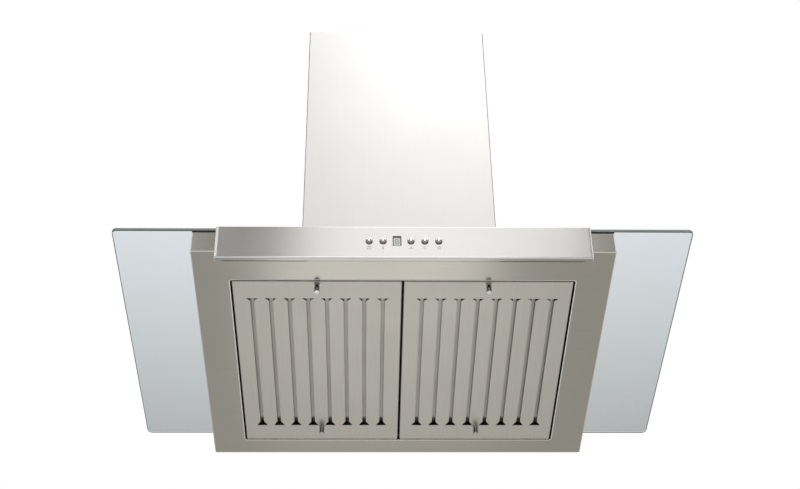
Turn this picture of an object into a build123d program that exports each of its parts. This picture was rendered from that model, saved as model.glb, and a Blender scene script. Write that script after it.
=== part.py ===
from build123d import *
import os

# Wall mount range hood: a flat glass canopy on a stainless filter pan, a front fascia with the
# controls, two baffle filters, a blower inside the chimney and a telescoping chimney cover.
# X runs to the viewer's right, Y runs back to the wall and Z runs up. The wall is the plane Y = 0,
# and the origin is the centre of the four wall bolts. All sizes are in millimetres.

# Sheets, bends and clearances
SHEET = 0.8  # stainless sheet of the canopy, the filters and the chimney
BOX_SHEET = 1.0  # galvanised sheet of the blower box
BEND_R = 1.8  # outside radius of a folded edge
MEET_GAP = 0.3  # between pieces that meet
SLIDE_GAP = 0.6  # between the two chimney covers
PIN_GAP = 0.05  # radial, around pins and shafts that turn
BUTTON_GAP = 0.25  # radial, around the push buttons

# Screws
SCREW_R = 2.0
SCREW_GAP = 0.15
HEAD_R = 3.6
HEAD_H = 2.2
HEAD_ROUND = 1.2

# Canopy pan and deck
PAN_W = 652.0
PAN_H = 38.0
MOUNT_RISE = 175.0  # from the pan's underside up to the wall bolts
OPEN_W = 540.0  # filter opening
OPEN_BACK = 41.0  # from the wall to the opening
OPEN_STRIP = 68.5  # of the pan's floor in front of the opening
OPEN_R = 4.0
RIM_H = 8.0  # fold-up rim on three sides of the opening
DECK_STRIP = 14.0  # strips inside the pan's walls that carry the deck
DECK_MARGIN = 1.0
DECK_FRAME = 14.0  # deck left under the walls of the blower box

# Glass canopy and its gasket
GLASS_W = 900.0
GLASS_D = 549.0
GLASS_T = 6.0
GLASS_R = 8.0
GLASS_BACK = 2.0  # from the wall to the glass
GLASS_LAP = 0.5  # of the glass past the pan's front wall
GLASS_ARRIS = 0.8
NOTCH_GAP = 4.0  # around the blower box
NOTCH_R = 12.0
GASKET_T = 2.2
GASKET_W = 10.0

# Fascia
FASCIA_W = 577.0
FASCIA_SHEET = 1.0
FASCIA_PROUD = 10.0  # in front of the glass
FASCIA_DROP = 21.0  # below the pan
FASCIA_RISE = 1.5  # above the underside of the glass
FASCIA_R = 2.0
FASCIA_SLOT = 1.5  # gap behind the bottom flange
FASCIA_SLOT_INSET = 14.0  # from the fascia's end to the end of that gap
RELIEF_R = 1.6  # round holes where the gap ends
SEAL_GRIP = 3.0  # of the edge strip on the top flange
SEAL_LIP = 1.0
SEAL_INSET = 5.0
RAIL_SHEET = 1.2
RAIL_RISE = 14.0  # of the rail's leg, above the pan's underside
RAIL_ROOM = 2.0  # behind the fascia's front sheet
RAIL_INSET = 6.0
FASCIA_SCREW_INSET = 23.5  # from the fascia's end
FASCIA_SCREW_GAP = 37.0  # from the controls
FASCIA_SCREW_RISE = 8.0

# Controls
LEFT_BUTTONS = 2
RIGHT_BUTTONS = 3  # with the display between them and the left ones
BUTTON_PITCH = 21.3
BUTTON_R = 5.5
BUTTON_PROUD = 4.6
BUTTON_DOME = 2.6
BUTTON_TRAVEL = 1.2
COLLAR_LEDGE = 1.0  # button's retaining collar, beyond its cap
COLLAR_T = 1.0
STEM_R = 2.5
STEM_L = 8.0
COUNTERBORE = 3.5
FRAME_W = 146.0
FRAME_H = 26.0
FRAME_D = 8.0
PILLAR_R = 3.0
PILLAR_L = 5.5
PILLAR_INSET = 5.0
BOARD_H = 17.2
BOARD_T = 1.6
CUT_GAP = 0.6
COVER_WALL = 1.5
COVER_DEPTH = 22.0
SWITCH_SIZE = 6.0
SWITCH_GAP = 0.3  # between a pressed stem and its switch
WINDOW_W = 13.4
WINDOW_H = 20.0
WINDOW_R = 0.8
WINDOW_LAP = 1.2
WINDOW_T = 1.2
MODULE_GAP = 0.3

# Baffle filters
FILTER_H = 16.0
FILTER_SIDE_GAP = 2.5
FILTER_MID_GAP = 3.0
FILTER_FRONT_GAP = 4.0
FILTER_HEEL_GAP = 0.6
FILTER_LIP = 8.0  # over the ledge behind the opening
FILTER_BEND = 1.3
SLOTS = 8
SLOT_W = 6.4
SLOT_MARGIN_FRONT = 42.0
SLOT_MARGIN_REAR = 43.0
SLOT_LIP = 5.0
FLARE_W = 18.6
FLARE_FRONT_L = 6.5
FLARE_REAR_L = 11.5
BAFFLE_W = 20.0
BAFFLE_RISE = 9.5
BAFFLE_LIFT = 4.5  # of the legs, above the slotted face
BAFFLE_FOOT = 14.0
BAFFLE_BEND = 1.2
KNOB_FRONT = 8.0
KNOB_REAR = 39.0
KNOB_L = 15.0
KNOB_R = 4.2
KNOB_TIP_R = 3.6
KNOB_TIP_L = 1.0
KNOB_BASE_R = 5.2
KNOB_BASE_T = 0.8
KNOB_SHANK_R = 2.0
KNOB_SHANK_GAP = 0.2
NUT_R = 4.0
NUT_T = 3.2
CLIP_SHEET = 0.5
CLIP_W = 14.0
CLIP_NOSE = 2.9
CLIP_SPACING = 140.0
REAR_RAIL_H = 14.0
REAR_RAIL_FOOT = 15.0
REAR_RAIL_GAP = 1.0

# Blower box
BOX_SIDE_ROOM = 24.0  # inside the chimney
BOX_FRONT_ROOM = 52.0
BOX_H = 236.0
BOX_FLANGE = 12.0
BOLT_R = 4.25
BOLT_SPACING_X = 220.0
BOLT_SPACING_Z = 110.0
LID_SCREW_INSET = 7.0
GLASS_CLIP_SHEET = 1.5
GLASS_CLIP_W = 24.0
GLASS_CLIP_FOOT = 13.0
GLASS_CLIP_H = 20.0
GLASS_CLIP_Y = (60.0, 200.0)

# Blower
WHEEL_R = 70.0
WHEEL_W = 104.0
WHEEL_RING = 12.0
WHEEL_RING_T = 2.0
BLADES = 36
BLADE_T = 1.0
BLADE_SWEEP = 14.0  # degrees from root to tip
BLADE_BOW = 2.6
DISC_T = 1.6
HUB_R = 12.0
HUB_L = 16.0
SHAFT_R = 4.0
SHAFT_GRIP = 10.0  # shaft inside the motor
TIP_GAP = 5.0
SCROLL_SIDE_GAP = 6.0
SCROLL_STEP = 8.0
SCROLL_WALL = 2.0
SCROLL_BACK_ROOM = 17.0
SCROLL_FLOOR_ROOM = 20.0
TONGUE_X = 14.0
TONGUE_R = 6.0
INLET_R = 56.0
INLET_LIP = 5.0
INLET_LIP_T = 2.5
MOTOR_R = 39.0
MOTOR_L = 72.0
MOTOR_ROUND = 8.0
MOTOR_BOSS_R = 11.0
MOTOR_BOSS_L = 4.0
MOTOR_FLANGE_R = 44.0
MOTOR_FLANGE_T = 1.6
MOTOR_FLANGE_X = 46.0  # from the motor's shaft end back to its flange
ARM_T = 2.0
ARM_W = 13.0
ARM_REACH = 66.0
ARMS = 3
CAPACITOR_R = 15.0
CAPACITOR_L = 56.0
CAPACITOR_X = 105.0
STRAP_T = 1.0
STRAP_W = 16.0
STRAP_EAR = 10.0

# Outlet collar, damper and wiring box
COLLAR_R = 74.5
COLLAR_WALL = 1.0
COLLAR_H = 45.0
COLLAR_FLANGE = 12.0
DAMPER_RISE = 18.0
ROD_R = 1.5
FLAP_T = 0.6
FLAP_GAP = 1.0
KNUCKLE_T = 1.1
KNUCKLE_L = 14.0
KNUCKLE_GAP = 0.6
STOP_W = 12.0
STOP_DEPTH = 4.0
STOP_T = 1.0
WIRING_W = 44.0
WIRING_L = 100.0
WIRING_H = 36.0
WIRING_GAP = 8.0
COVER_LIP = 8.0
BUSHING_R = 9.0
BUSHING_WALL = 3.0
BUSHING_RIM = 3.0
BUSHING_L = 8.0

# Chimney
CHIMNEY_W = 340.0
CHIMNEY_D = 306.0
CHIMNEY_H = 735.0
CHIMNEY_RETURN = 14.0
FOOT_SHEET = 1.2
FOOT_W = 26.0
FOOT_H = 22.0
FOOT_Y = 130.0
FOOT_RISE = 12.0
EXTENSION_START = 60.0  # above the glass
EXTENSION_DROP = 2.0  # below the top of the lower cover
BRACKET_SHEET = 1.2
BRACKET_H = 30.0
BRACKET_DEPTH = 24.0
BRACKET_TAB = 18.0
BRACKET_DROP = 8.0
BRACKET_HOLE_R = 3.0
BRACKET_HOLE_SPACING = 200.0

# Levels and faces that follow from the sizes above
PAN_Z = -MOUNT_RISE
DECK_Z = PAN_Z + PAN_H
DECK_TOP = DECK_Z + SHEET
GLASS_Z = DECK_TOP + GASKET_T
GLASS_TOP = GLASS_Z + GLASS_T
GLASS_FRONT = -GLASS_BACK - GLASS_D
PAN_FRONT = GLASS_FRONT + GLASS_LAP
OPEN_REAR = -OPEN_BACK
OPEN_FRONT = PAN_FRONT + OPEN_STRIP
OPEN_MID = (OPEN_FRONT + OPEN_REAR) / 2
FASCIA_FRONT = GLASS_FRONT - FASCIA_PROUD
FASCIA_BACK = FASCIA_FRONT + FASCIA_SHEET
FASCIA_Z = PAN_Z - FASCIA_DROP
FASCIA_TOP = GLASS_Z + FASCIA_RISE
FASCIA_REAR = PAN_FRONT - RAIL_SHEET - MEET_GAP
FASCIA_SCREW_L = SHEET + RAIL_SHEET + HEAD_H
FASCIA_SCREW_X = (FRAME_W / 2 + FASCIA_SCREW_GAP, FASCIA_W / 2 - FASCIA_SCREW_INSET)
COVER_Z = PAN_Z + BEND_R + MEET_GAP
CONTROL_Z = COVER_Z + COVER_WALL + CUT_GAP + BOARD_H / 2
BOARD_TOP = CONTROL_Z + BOARD_H / 2
FRAME_BACK = FASCIA_BACK + FRAME_D
BOARD_FRONT = FRAME_BACK + PILLAR_L
LAST_PLACE = LEFT_BUTTONS + RIGHT_BUTTONS
PLACE_X = [(place - LAST_PLACE / 2) * BUTTON_PITCH for place in range(LAST_PLACE + 1)]
DISPLAY_X = PLACE_X[LEFT_BUTTONS]
BUTTON_X = [x for x in PLACE_X if x != DISPLAY_X]
STEM_END = FASCIA_BACK + MEET_GAP + COLLAR_T + STEM_L
GLASS_CLIP_SCREW_L = GLASS_CLIP_SHEET + BOX_SHEET + HEAD_H
LID_SCREW_L = 2 * BOX_SHEET + HEAD_H
CHIMNEY_SCREW_L = SHEET + FOOT_SHEET + HEAD_H
BOX_W = CHIMNEY_W - 2 * BOX_SIDE_ROOM
BOX_D = CHIMNEY_D - BOX_FRONT_ROOM
LID_Z = DECK_TOP + BOX_H
LID_TOP = LID_Z + BOX_SHEET
FILTER_W = (OPEN_W - 2 * FILTER_SIDE_GAP - FILTER_MID_GAP) / 2
FILTER_X = (FILTER_W + FILTER_MID_GAP) / 2
FILTER_Z = PAN_Z + SHEET + MEET_GAP
FILTER_FACE = FILTER_Z + SHEET
FILTER_FRONT = OPEN_FRONT + FILTER_FRONT_GAP
FILTER_REAR = OPEN_REAR - FILTER_HEEL_GAP
SLOT_PITCH = FILTER_W / (SLOTS + 1)
SLOT_FRONT = FILTER_FRONT + SLOT_MARGIN_FRONT
SLOT_REAR = FILTER_REAR - SLOT_MARGIN_REAR
SCROLL_R = WHEEL_R + TIP_GAP
SCROLL_W = WHEEL_W / 2 + SCROLL_SIDE_GAP
FAN_Y = -(BOX_SHEET + SCROLL_BACK_ROOM + SCROLL_WALL + SCROLL_R)
FAN_Z = DECK_TOP + SCROLL_FLOOR_ROOM + SCROLL_WALL + SCROLL_R + SCROLL_STEP
FAN = Plane((0, FAN_Y, FAN_Z), x_dir=(0, 1, 0), z_dir=(1, 0, 0))
SCROLL_FRONT = -(SCROLL_R + 3 * SCROLL_STEP)
OUTLET_Y = FAN_Y + (SCROLL_FRONT - TONGUE_X) / 2
DAMPER_Z = LID_TOP + DAMPER_RISE
CHIMNEY_Z = GLASS_TOP + MEET_GAP
CHIMNEY_TOP = CHIMNEY_Z + CHIMNEY_H
SLIDE_INSET = SHEET + SLIDE_GAP
BRACKET_TOP = CHIMNEY_TOP - EXTENSION_DROP - BRACKET_DROP
BRACKET_Z = BRACKET_TOP - BRACKET_H


def block(x, y, z):
    """A box between a low and a high limit on each axis."""
    size = (x[1] - x[0], y[1] - y[0], z[1] - z[0])
    return Pos(x[0], y[0], z[0]) * Box(*size, align=Align.MIN)


def rod(radius, start, end):
    """A round bar from one point to another."""
    along = Vector(end) - Vector(start)
    bar = Cylinder(radius, along.length, align=(Align.CENTER, Align.CENTER, Align.MIN))
    return Plane(start, z_dir=along) * bar


def group(pieces):
    """Separate solids that share one node."""
    return Part() + list(pieces)


def both_sides(piece):
    """A piece on the right with its mirror image on the left."""
    return group([piece, mirror(piece, Plane.YZ)])


def folded(points, width, thickness, radius, side):
    """A sheet bent along an outline in plan, standing up by its width, with rounded bends."""
    return make_brake_formed(thickness, width, FilletPolyline(*points, radius=radius), side=side)


def screw(seat, length):
    """A round head screw on a seat plane, with its shank along the plane's normal."""
    head = Cylinder(HEAD_R, HEAD_H, align=(Align.CENTER, Align.CENTER, Align.MAX))
    head = fillet(head.edges().sort_by(Axis.Z)[0], HEAD_ROUND)
    shank = Cylinder(SCREW_R, length, align=(Align.CENTER, Align.CENTER, Align.MIN))
    return seat * (head + shank)


def screw_hole(seat, length):
    """Clearance for a screw's shank through the sheets behind its seat."""
    hole = Cylinder(SCREW_R + SCREW_GAP, length, align=(Align.CENTER, Align.CENTER, Align.MIN))
    return seat * hole


def fascia_screw_seats():
    """Seats inside the pan's front wall, with the screws pointing forward into the rail."""
    places = [side * x for side in (-1, 1) for x in FASCIA_SCREW_X]
    y = PAN_FRONT + SHEET
    return [Plane((x, y, PAN_Z + FASCIA_SCREW_RISE), z_dir=(0, -1, 0)) for x in places]


def control_cut(depth):
    """Room for the control board through the sheets at some depth."""
    half = FRAME_W / 2 + CUT_GAP
    tall = (CONTROL_Z - BOARD_H / 2 - CUT_GAP, BOARD_TOP + CUT_GAP)
    return block((-half, half), depth, tall)


# Canopy

def canopy_pan():
    """Folded tray with the filter opening, its rim and a control cut-out."""
    pan = block((-PAN_W / 2, PAN_W / 2), (PAN_FRONT, 0), (PAN_Z, DECK_Z))
    folds = pan.edges().filter_by(Axis.Z) + pan.faces().sort_by(Axis.Z)[0].edges()
    pan = fillet(folds, BEND_R)
    pan = offset(pan, amount=-SHEET, openings=pan.faces().sort_by(Axis.Z)[-1])
    opening = Pos(0, OPEN_MID, PAN_Z) * RectangleRounded(OPEN_W, OPEN_REAR - OPEN_FRONT, OPEN_R)
    rim = extrude(offset(opening, SHEET) - opening, RIM_H)
    heel = OPEN_REAR - OPEN_R
    rim -= block((-OPEN_W, OPEN_W), (heel, 0), (PAN_Z, PAN_Z + RIM_H))
    pan = pan - extrude(opening, SHEET) + rim
    for seat in fascia_screw_seats():
        pan -= screw_hole(seat, SHEET)
    return pan - control_cut((PAN_FRONT, PAN_FRONT + SHEET))


def deck_frame():
    """Four strips inside the top of the pan's walls, under the deck."""
    side = PAN_W / 2 - SHEET
    level = (DECK_Z - SHEET, DECK_Z)
    front = (PAN_FRONT + SHEET, PAN_FRONT + SHEET + DECK_STRIP)
    rear = (-SHEET - DECK_STRIP, -SHEET)
    long = side - BEND_R
    strips = [block((-long, long), depth, level) for depth in (front, rear)]
    strips.append(both_sides(block((side - DECK_STRIP, side), (front[1], rear[0]), level)))
    return group(strips)


def canopy_deck():
    """Flat sheet on the frame and the pan's walls, open under the blower box."""
    half = PAN_W / 2 - DECK_MARGIN
    deck = block((-half, half), (PAN_FRONT + DECK_MARGIN, -DECK_MARGIN), (DECK_Z, DECK_TOP))
    mouth = BOX_W / 2 - DECK_FRAME
    return deck - block((-mouth, mouth), (-BOX_D + DECK_FRAME, -DECK_FRAME), (DECK_Z, DECK_TOP))


def rear_filter_rail():
    """Angle behind the filters' lips, on the floor of the pan."""
    half = OPEN_W / 2
    face = OPEN_REAR + FILTER_LIP + REAR_RAIL_GAP
    floor = PAN_Z + SHEET
    foot = block((-half, half), (face, face + REAR_RAIL_FOOT), (floor, floor + SHEET))
    return foot + block((-half, half), (face, face + SHEET), (floor, floor + REAR_RAIL_H))


def filter_clips():
    """Leaf springs on the front rim of the opening, two for each filter."""
    clips = []
    for centre in (-FILTER_X, FILTER_X):
        for x in (centre - CLIP_SPACING / 2, centre + CLIP_SPACING / 2):
            span = (x - CLIP_W / 2, x + CLIP_W / 2)
            face = OPEN_FRONT + CLIP_SHEET
            leaf = block(span, (OPEN_FRONT, face), (PAN_Z + SHEET, PAN_Z + RIM_H))
            middle = PAN_Z + (SHEET + RIM_H) / 2
            nose = rod(CLIP_NOSE, (span[0], face, middle), (span[1], face, middle))
            front = block(span, (OPEN_FRONT - CLIP_NOSE, OPEN_FRONT), (PAN_Z, PAN_Z + RIM_H))
            clips.append(leaf + (nose - front))
    return group(clips)


def glass_gasket():
    """Black strip round the top of the deck, under the glass, open at the back."""
    half = PAN_W / 2
    strip = block((-half, half), (PAN_FRONT, -GLASS_BACK), (DECK_TOP, GLASS_Z))
    inner = half - GASKET_W
    return strip - block((-inner, inner), (PAN_FRONT + GASKET_W, 0), (DECK_TOP, GLASS_Z))


def glass_canopy():
    """Flat tempered glass with round corners and a notch at the back for the blower box."""
    middle = (GLASS_FRONT - GLASS_BACK) / 2
    sheet = Pos(0, middle) * RectangleRounded(GLASS_W, GLASS_D, GLASS_R)
    depth = BOX_D + NOTCH_GAP
    notch = RectangleRounded(BOX_W + 2 * NOTCH_GAP, 2 * depth, NOTCH_R)
    glass = Pos(0, 0, GLASS_Z) * extrude(sheet - notch, GLASS_T)
    rims = glass.faces().filter_by(Axis.Z)
    return chamfer(rims.edges(), GLASS_ARRIS)


def glass_clip_seats():
    """Seats on the right side of the blower box for the screws of the glass clips."""
    height = GLASS_TOP + GLASS_CLIP_H / 2 + GLASS_CLIP_SHEET
    return [Plane((BOX_W / 2 + GLASS_CLIP_SHEET, -y, height), z_dir=(-1, 0, 0)) for y in GLASS_CLIP_Y]


def glass_clips():
    """Angles on the sides of the blower box, with their feet on the glass."""
    clips = []
    for seat in glass_clip_seats():
        span = (seat.origin.Y - GLASS_CLIP_W / 2, seat.origin.Y + GLASS_CLIP_W / 2)
        side = BOX_W / 2
        leg = block((side, side + GLASS_CLIP_SHEET), span, (GLASS_TOP, GLASS_TOP + GLASS_CLIP_H))
        foot = block((side, side + GLASS_CLIP_FOOT), span, (GLASS_TOP, GLASS_TOP + GLASS_CLIP_SHEET))
        clips.append(leg + foot - screw_hole(seat, GLASS_CLIP_SCREW_L))
    return both_sides(group(clips))


def glass_clip_screws():
    """Screws that hold the glass clips to the blower box."""
    return both_sides(group(screw(seat, GLASS_CLIP_SCREW_L) for seat in glass_clip_seats()))


# Fascia and controls

def fascia_panel():
    """Folded front with round edges, flanges all round and a gap behind the bottom one."""
    half = FASCIA_W / 2
    panel = block((-half, half), (FASCIA_FRONT, FASCIA_REAR), (FASCIA_Z, FASCIA_TOP))
    front = panel.faces().sort_by(Axis.Y)[0]
    panel = fillet(front.edges() + panel.edges().filter_by(Axis.Y), FASCIA_R)
    panel = offset(panel, amount=-FASCIA_SHEET, openings=panel.faces().sort_by(Axis.Y)[-1])
    end = half - FASCIA_SLOT_INSET
    sheet = (FASCIA_Z, FASCIA_Z + FASCIA_SHEET)
    middle = FASCIA_REAR - FASCIA_SLOT / 2
    panel -= block((-end, end), (FASCIA_REAR - FASCIA_SLOT, FASCIA_REAR), sheet)
    panel -= [rod(RELIEF_R, (x, middle, sheet[0]), (x, middle, sheet[1])) for x in (-end, end)]
    for x in BUTTON_X:
        panel -= rod(BUTTON_R + BUTTON_GAP, (x, FASCIA_FRONT, CONTROL_Z), (x, FASCIA_BACK, CONTROL_Z))
    window = Plane((DISPLAY_X, FASCIA_FRONT, CONTROL_Z), x_dir=(1, 0, 0), z_dir=(0, 1, 0))
    return panel - extrude(window * RectangleRounded(WINDOW_W, WINDOW_H, WINDOW_R), FASCIA_SHEET)


def fascia_rail():
    """Angle on the front of the pan, with its foot on the fascia's bottom flange."""
    half = FASCIA_W / 2 - RAIL_INSET
    low = FASCIA_Z + FASCIA_SHEET
    leg = (PAN_FRONT - RAIL_SHEET, PAN_FRONT)
    rail = block((-half, half), leg, (low, PAN_Z + RAIL_RISE))
    rail += block((-half, half), (FASCIA_BACK + RAIL_ROOM, PAN_FRONT), (low, low + RAIL_SHEET))
    heel = rail.edges().filter_by(Axis.X).sort_by_distance((0, PAN_FRONT, low))[0]
    rail = fillet(heel, BEND_R)
    for seat in fascia_screw_seats():
        rail -= screw_hole(seat, FASCIA_SCREW_L)
    return rail - control_cut(leg)


def fascia_seal():
    """Black edge strip on the fascia's top flange, against the front edge of the glass."""
    half = FASCIA_W / 2 - SEAL_INSET
    flange = (FASCIA_TOP - FASCIA_SHEET, FASCIA_TOP)
    front = FASCIA_REAR - SEAL_GRIP
    strip = block((-half, half), (front, GLASS_FRONT), (flange[0] - SEAL_LIP, flange[1] + SEAL_LIP))
    return strip - block((-half, half), (front, FASCIA_REAR), flange)


def fascia_screws():
    """Screws from inside the pan into the rail."""
    return group(screw(seat, FASCIA_SCREW_L) for seat in fascia_screw_seats())


def pillar_points():
    """Corners of the control frame where the board is held."""
    x = FRAME_W / 2 - PILLAR_INSET
    z = BOARD_H / 2 - PILLAR_INSET
    return [(i * x, CONTROL_Z + j * z) for i in (-1, 1) for j in (-1, 1)]


def button_frame():
    """Moulded bar behind the fascia that guides the buttons, holds the window and carries the board."""
    half = FRAME_W / 2
    tall = (CONTROL_Z - FRAME_H / 2, CONTROL_Z + FRAME_H / 2)
    frame = block((-half, half), (FASCIA_BACK, FRAME_BACK), tall)
    for x, z in pillar_points():
        frame += rod(PILLAR_R, (x, FRAME_BACK, z), (x, BOARD_FRONT, z))
    collar_r = BUTTON_R + COLLAR_LEDGE + BUTTON_GAP
    for x in BUTTON_X:
        frame -= rod(collar_r, (x, FASCIA_BACK, CONTROL_Z), (x, FASCIA_BACK + COUNTERBORE, CONTROL_Z))
        frame -= rod(STEM_R + BUTTON_GAP, (x, FASCIA_BACK, CONTROL_Z), (x, FRAME_BACK, CONTROL_Z))
    x = DISPLAY_X
    lens_w = WINDOW_W / 2 + WINDOW_LAP + MODULE_GAP
    lens_h = WINDOW_H / 2 + WINDOW_LAP + MODULE_GAP
    lens_z = (CONTROL_Z - lens_h, CONTROL_Z + lens_h)
    frame -= block((x - lens_w, x + lens_w), (FASCIA_BACK, FASCIA_BACK + WINDOW_T), lens_z)
    module = (x - WINDOW_W / 2 - MODULE_GAP, x + WINDOW_W / 2 + MODULE_GAP)
    module_z = (CONTROL_Z - BOARD_H / 2 - MODULE_GAP, BOARD_TOP + MODULE_GAP)
    return frame - block(module, (FASCIA_BACK, FRAME_BACK), module_z)


def display_window():
    """Clear lens behind the fascia's window."""
    x = DISPLAY_X
    wide = WINDOW_W / 2 + WINDOW_LAP
    tall = WINDOW_H / 2 + WINDOW_LAP
    depth = (FASCIA_BACK, FASCIA_BACK + WINDOW_T)
    return block((x - wide, x + wide), depth, (CONTROL_Z - tall, CONTROL_Z + tall))


def display_module():
    """One digit block between the lens and the board, as tall as the board."""
    x = DISPLAY_X
    depth = (FASCIA_BACK + WINDOW_T + MODULE_GAP, BOARD_FRONT)
    tall = (CONTROL_Z - BOARD_H / 2, BOARD_TOP)
    return block((x - WINDOW_W / 2, x + WINDOW_W / 2), depth, tall)


def control_board():
    """Printed board on the pillars of the control frame."""
    half = FRAME_W / 2
    return block((-half, half), (BOARD_FRONT, BOARD_FRONT + BOARD_T), (CONTROL_Z - BOARD_H / 2, BOARD_TOP))


def tact_switches():
    """Switches on the board, one behind each stem."""
    front = STEM_END + BUTTON_TRAVEL + SWITCH_GAP
    half = SWITCH_SIZE / 2
    tall = (CONTROL_Z - half, CONTROL_Z + half)
    return group(block((x - half, x + half), (front, BOARD_FRONT), tall) for x in BUTTON_X)


def control_box():
    """Moulded cover behind the board, seated on the inside of the pan's front wall."""
    wide = FRAME_W / 2 + CUT_GAP + COVER_WALL
    high = BOARD_TOP + CUT_GAP + COVER_WALL
    front = PAN_FRONT + SHEET
    cover = block((-wide, wide), (front, front + COVER_DEPTH), (COVER_Z, high))
    return cover - control_cut((front, front + COVER_DEPTH - COVER_WALL))


def push_button(x):
    """Domed cap, retaining collar behind the fascia and stem to the switch."""
    edge = FASCIA_FRONT - BUTTON_PROUD + BUTTON_DOME
    collar_front = FASCIA_BACK + MEET_GAP
    collar_back = collar_front + COLLAR_T
    collar_r = BUTTON_R + COLLAR_LEDGE
    cap = [(BUTTON_R, edge), (BUTTON_R, collar_front)]
    collar = [(collar_r, collar_front), (collar_r, collar_back)]
    stem = [(STEM_R, collar_back), (STEM_R, STEM_END), (0, STEM_END), (0, edge - BUTTON_DOME)]
    outline = Polyline(*cap, *collar, *stem)
    outline += EllipticalCenterArc((0, edge), BUTTON_R, BUTTON_DOME, start_angle=270, arc_size=90)
    return Pos(x, 0, CONTROL_Z) * revolve(make_face(outline), Axis.Y)


# Baffle filters

def slot_offsets():
    """Where the slots stand across a filter, from its middle."""
    return [(i - (SLOTS - 1) / 2) * SLOT_PITCH for i in range(SLOTS)]


def slot_outline():
    """A straight slot that flares at both ends."""
    waist = SLOT_W / 2
    flare = FLARE_W / 2
    front = [(flare, SLOT_FRONT), (waist, SLOT_FRONT + FLARE_FRONT_L)]
    right = front + [(waist, SLOT_REAR - FLARE_REAR_L), (flare, SLOT_REAR)]
    left = [(-x, y) for x, y in reversed(right)]
    return make_face(Polyline(*right, *left, close=True))


def knob_points():
    """The pull knobs' places on a filter, front and rear."""
    return [FILTER_FRONT + KNOB_FRONT, FILTER_REAR - KNOB_REAR]


def filter_tray():
    """Folded tray with flared slots, a fold-up lip along each slot and a lip over the rear ledge."""
    half = FILTER_W / 2
    tray = block((-half, half), (FILTER_FRONT, FILTER_REAR), (FILTER_Z, FILTER_Z + FILTER_H))
    folds = tray.edges().filter_by(Axis.Z) + tray.faces().sort_by(Axis.Z)[0].edges()
    tray = fillet(folds, FILTER_BEND)
    tray = offset(tray, amount=-SHEET, openings=tray.faces().sort_by(Axis.Z)[-1])
    inset = half - FILTER_BEND
    heel = (FILTER_REAR - FILTER_BEND, OPEN_REAR + FILTER_LIP)
    tray += block((-inset, inset), heel, (FILTER_Z, FILTER_FACE))
    slot = Pos(0, 0, FILTER_Z) * extrude(slot_outline(), SHEET)
    run = (SLOT_FRONT + FLARE_FRONT_L, SLOT_REAR - FLARE_REAR_L)
    edge = SLOT_W / 2
    lip = block((edge, edge + SHEET), run, (FILTER_Z, FILTER_Z + SLOT_LIP))
    lips = both_sides(lip)
    tray -= [Pos(x) * slot for x in slot_offsets()]
    tray += [Pos(x) * lips for x in slot_offsets()]
    hole_r = KNOB_SHANK_R + KNOB_SHANK_GAP
    return tray - [rod(hole_r, (0, y, FILTER_Z), (0, y, FILTER_FACE)) for y in knob_points()]


def filter_baffles():
    """Inverted channels over the slots, standing on feet at both ends of the tray."""
    half = BAFFLE_W / 2
    knob_end = FILTER_FRONT + KNOB_FRONT + KNOB_BASE_R
    run = (knob_end, FILTER_REAR - FILTER_BEND - MEET_GAP)
    top = FILTER_FACE + BAFFLE_RISE
    channel = block((-half, half), run, (FILTER_FACE, top))
    ridge = channel.faces().sort_by(Axis.Z)[-1].edges().filter_by(Axis.Y)
    channel = fillet(ridge, BAFFLE_BEND)
    inner = half - SHEET
    channel -= block((-inner, inner), run, (FILTER_FACE, top - SHEET))
    lifted = (run[0] + BAFFLE_FOOT, run[1] - BAFFLE_FOOT)
    channel -= block((-half, half), lifted, (FILTER_FACE, FILTER_FACE + BAFFLE_LIFT))
    return group(Pos(x) * channel for x in slot_offsets())


def filter_knobs():
    """Turned pull knobs under the tray: base and straight body, with a shank through the sheet."""
    base_z = FILTER_Z - KNOB_BASE_T
    tip_z = FILTER_Z - KNOB_L
    shank_top = FILTER_FACE + NUT_T
    shank = [(0, shank_top), (KNOB_SHANK_R, shank_top), (KNOB_SHANK_R, FILTER_Z)]
    base = [(KNOB_BASE_R, FILTER_Z), (KNOB_BASE_R, base_z), (KNOB_R, base_z)]
    tip = [(KNOB_R, tip_z + KNOB_TIP_L), (KNOB_TIP_R, tip_z), (0, tip_z)]
    outline = Polyline(*shank, *base, *tip, close=True)
    knob = revolve(Plane.XZ * make_face(outline), Axis.Z)
    return group(Pos(0, y) * knob for y in knob_points())


def knob_nuts():
    """Hexagon nuts on the knobs' shanks, inside the tray."""
    outline = RegularPolygon(NUT_R, 6) - Circle(KNOB_SHANK_R + KNOB_SHANK_GAP)
    return group(Pos(0, y, FILTER_FACE) * extrude(outline, NUT_T) for y in knob_points())


# Blower box, blower and outlet

def lid_screw_seats():
    """Seats on the lid, at its corners and along its sides."""
    x = BOX_W / 2 - LID_SCREW_INSET
    rows = (-LID_SCREW_INSET, -BOX_D + LID_SCREW_INSET)
    return [Plane((side * x, y, LID_TOP), z_dir=(0, 0, -1)) for side in (-1, 1) for y in rows]


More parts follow.
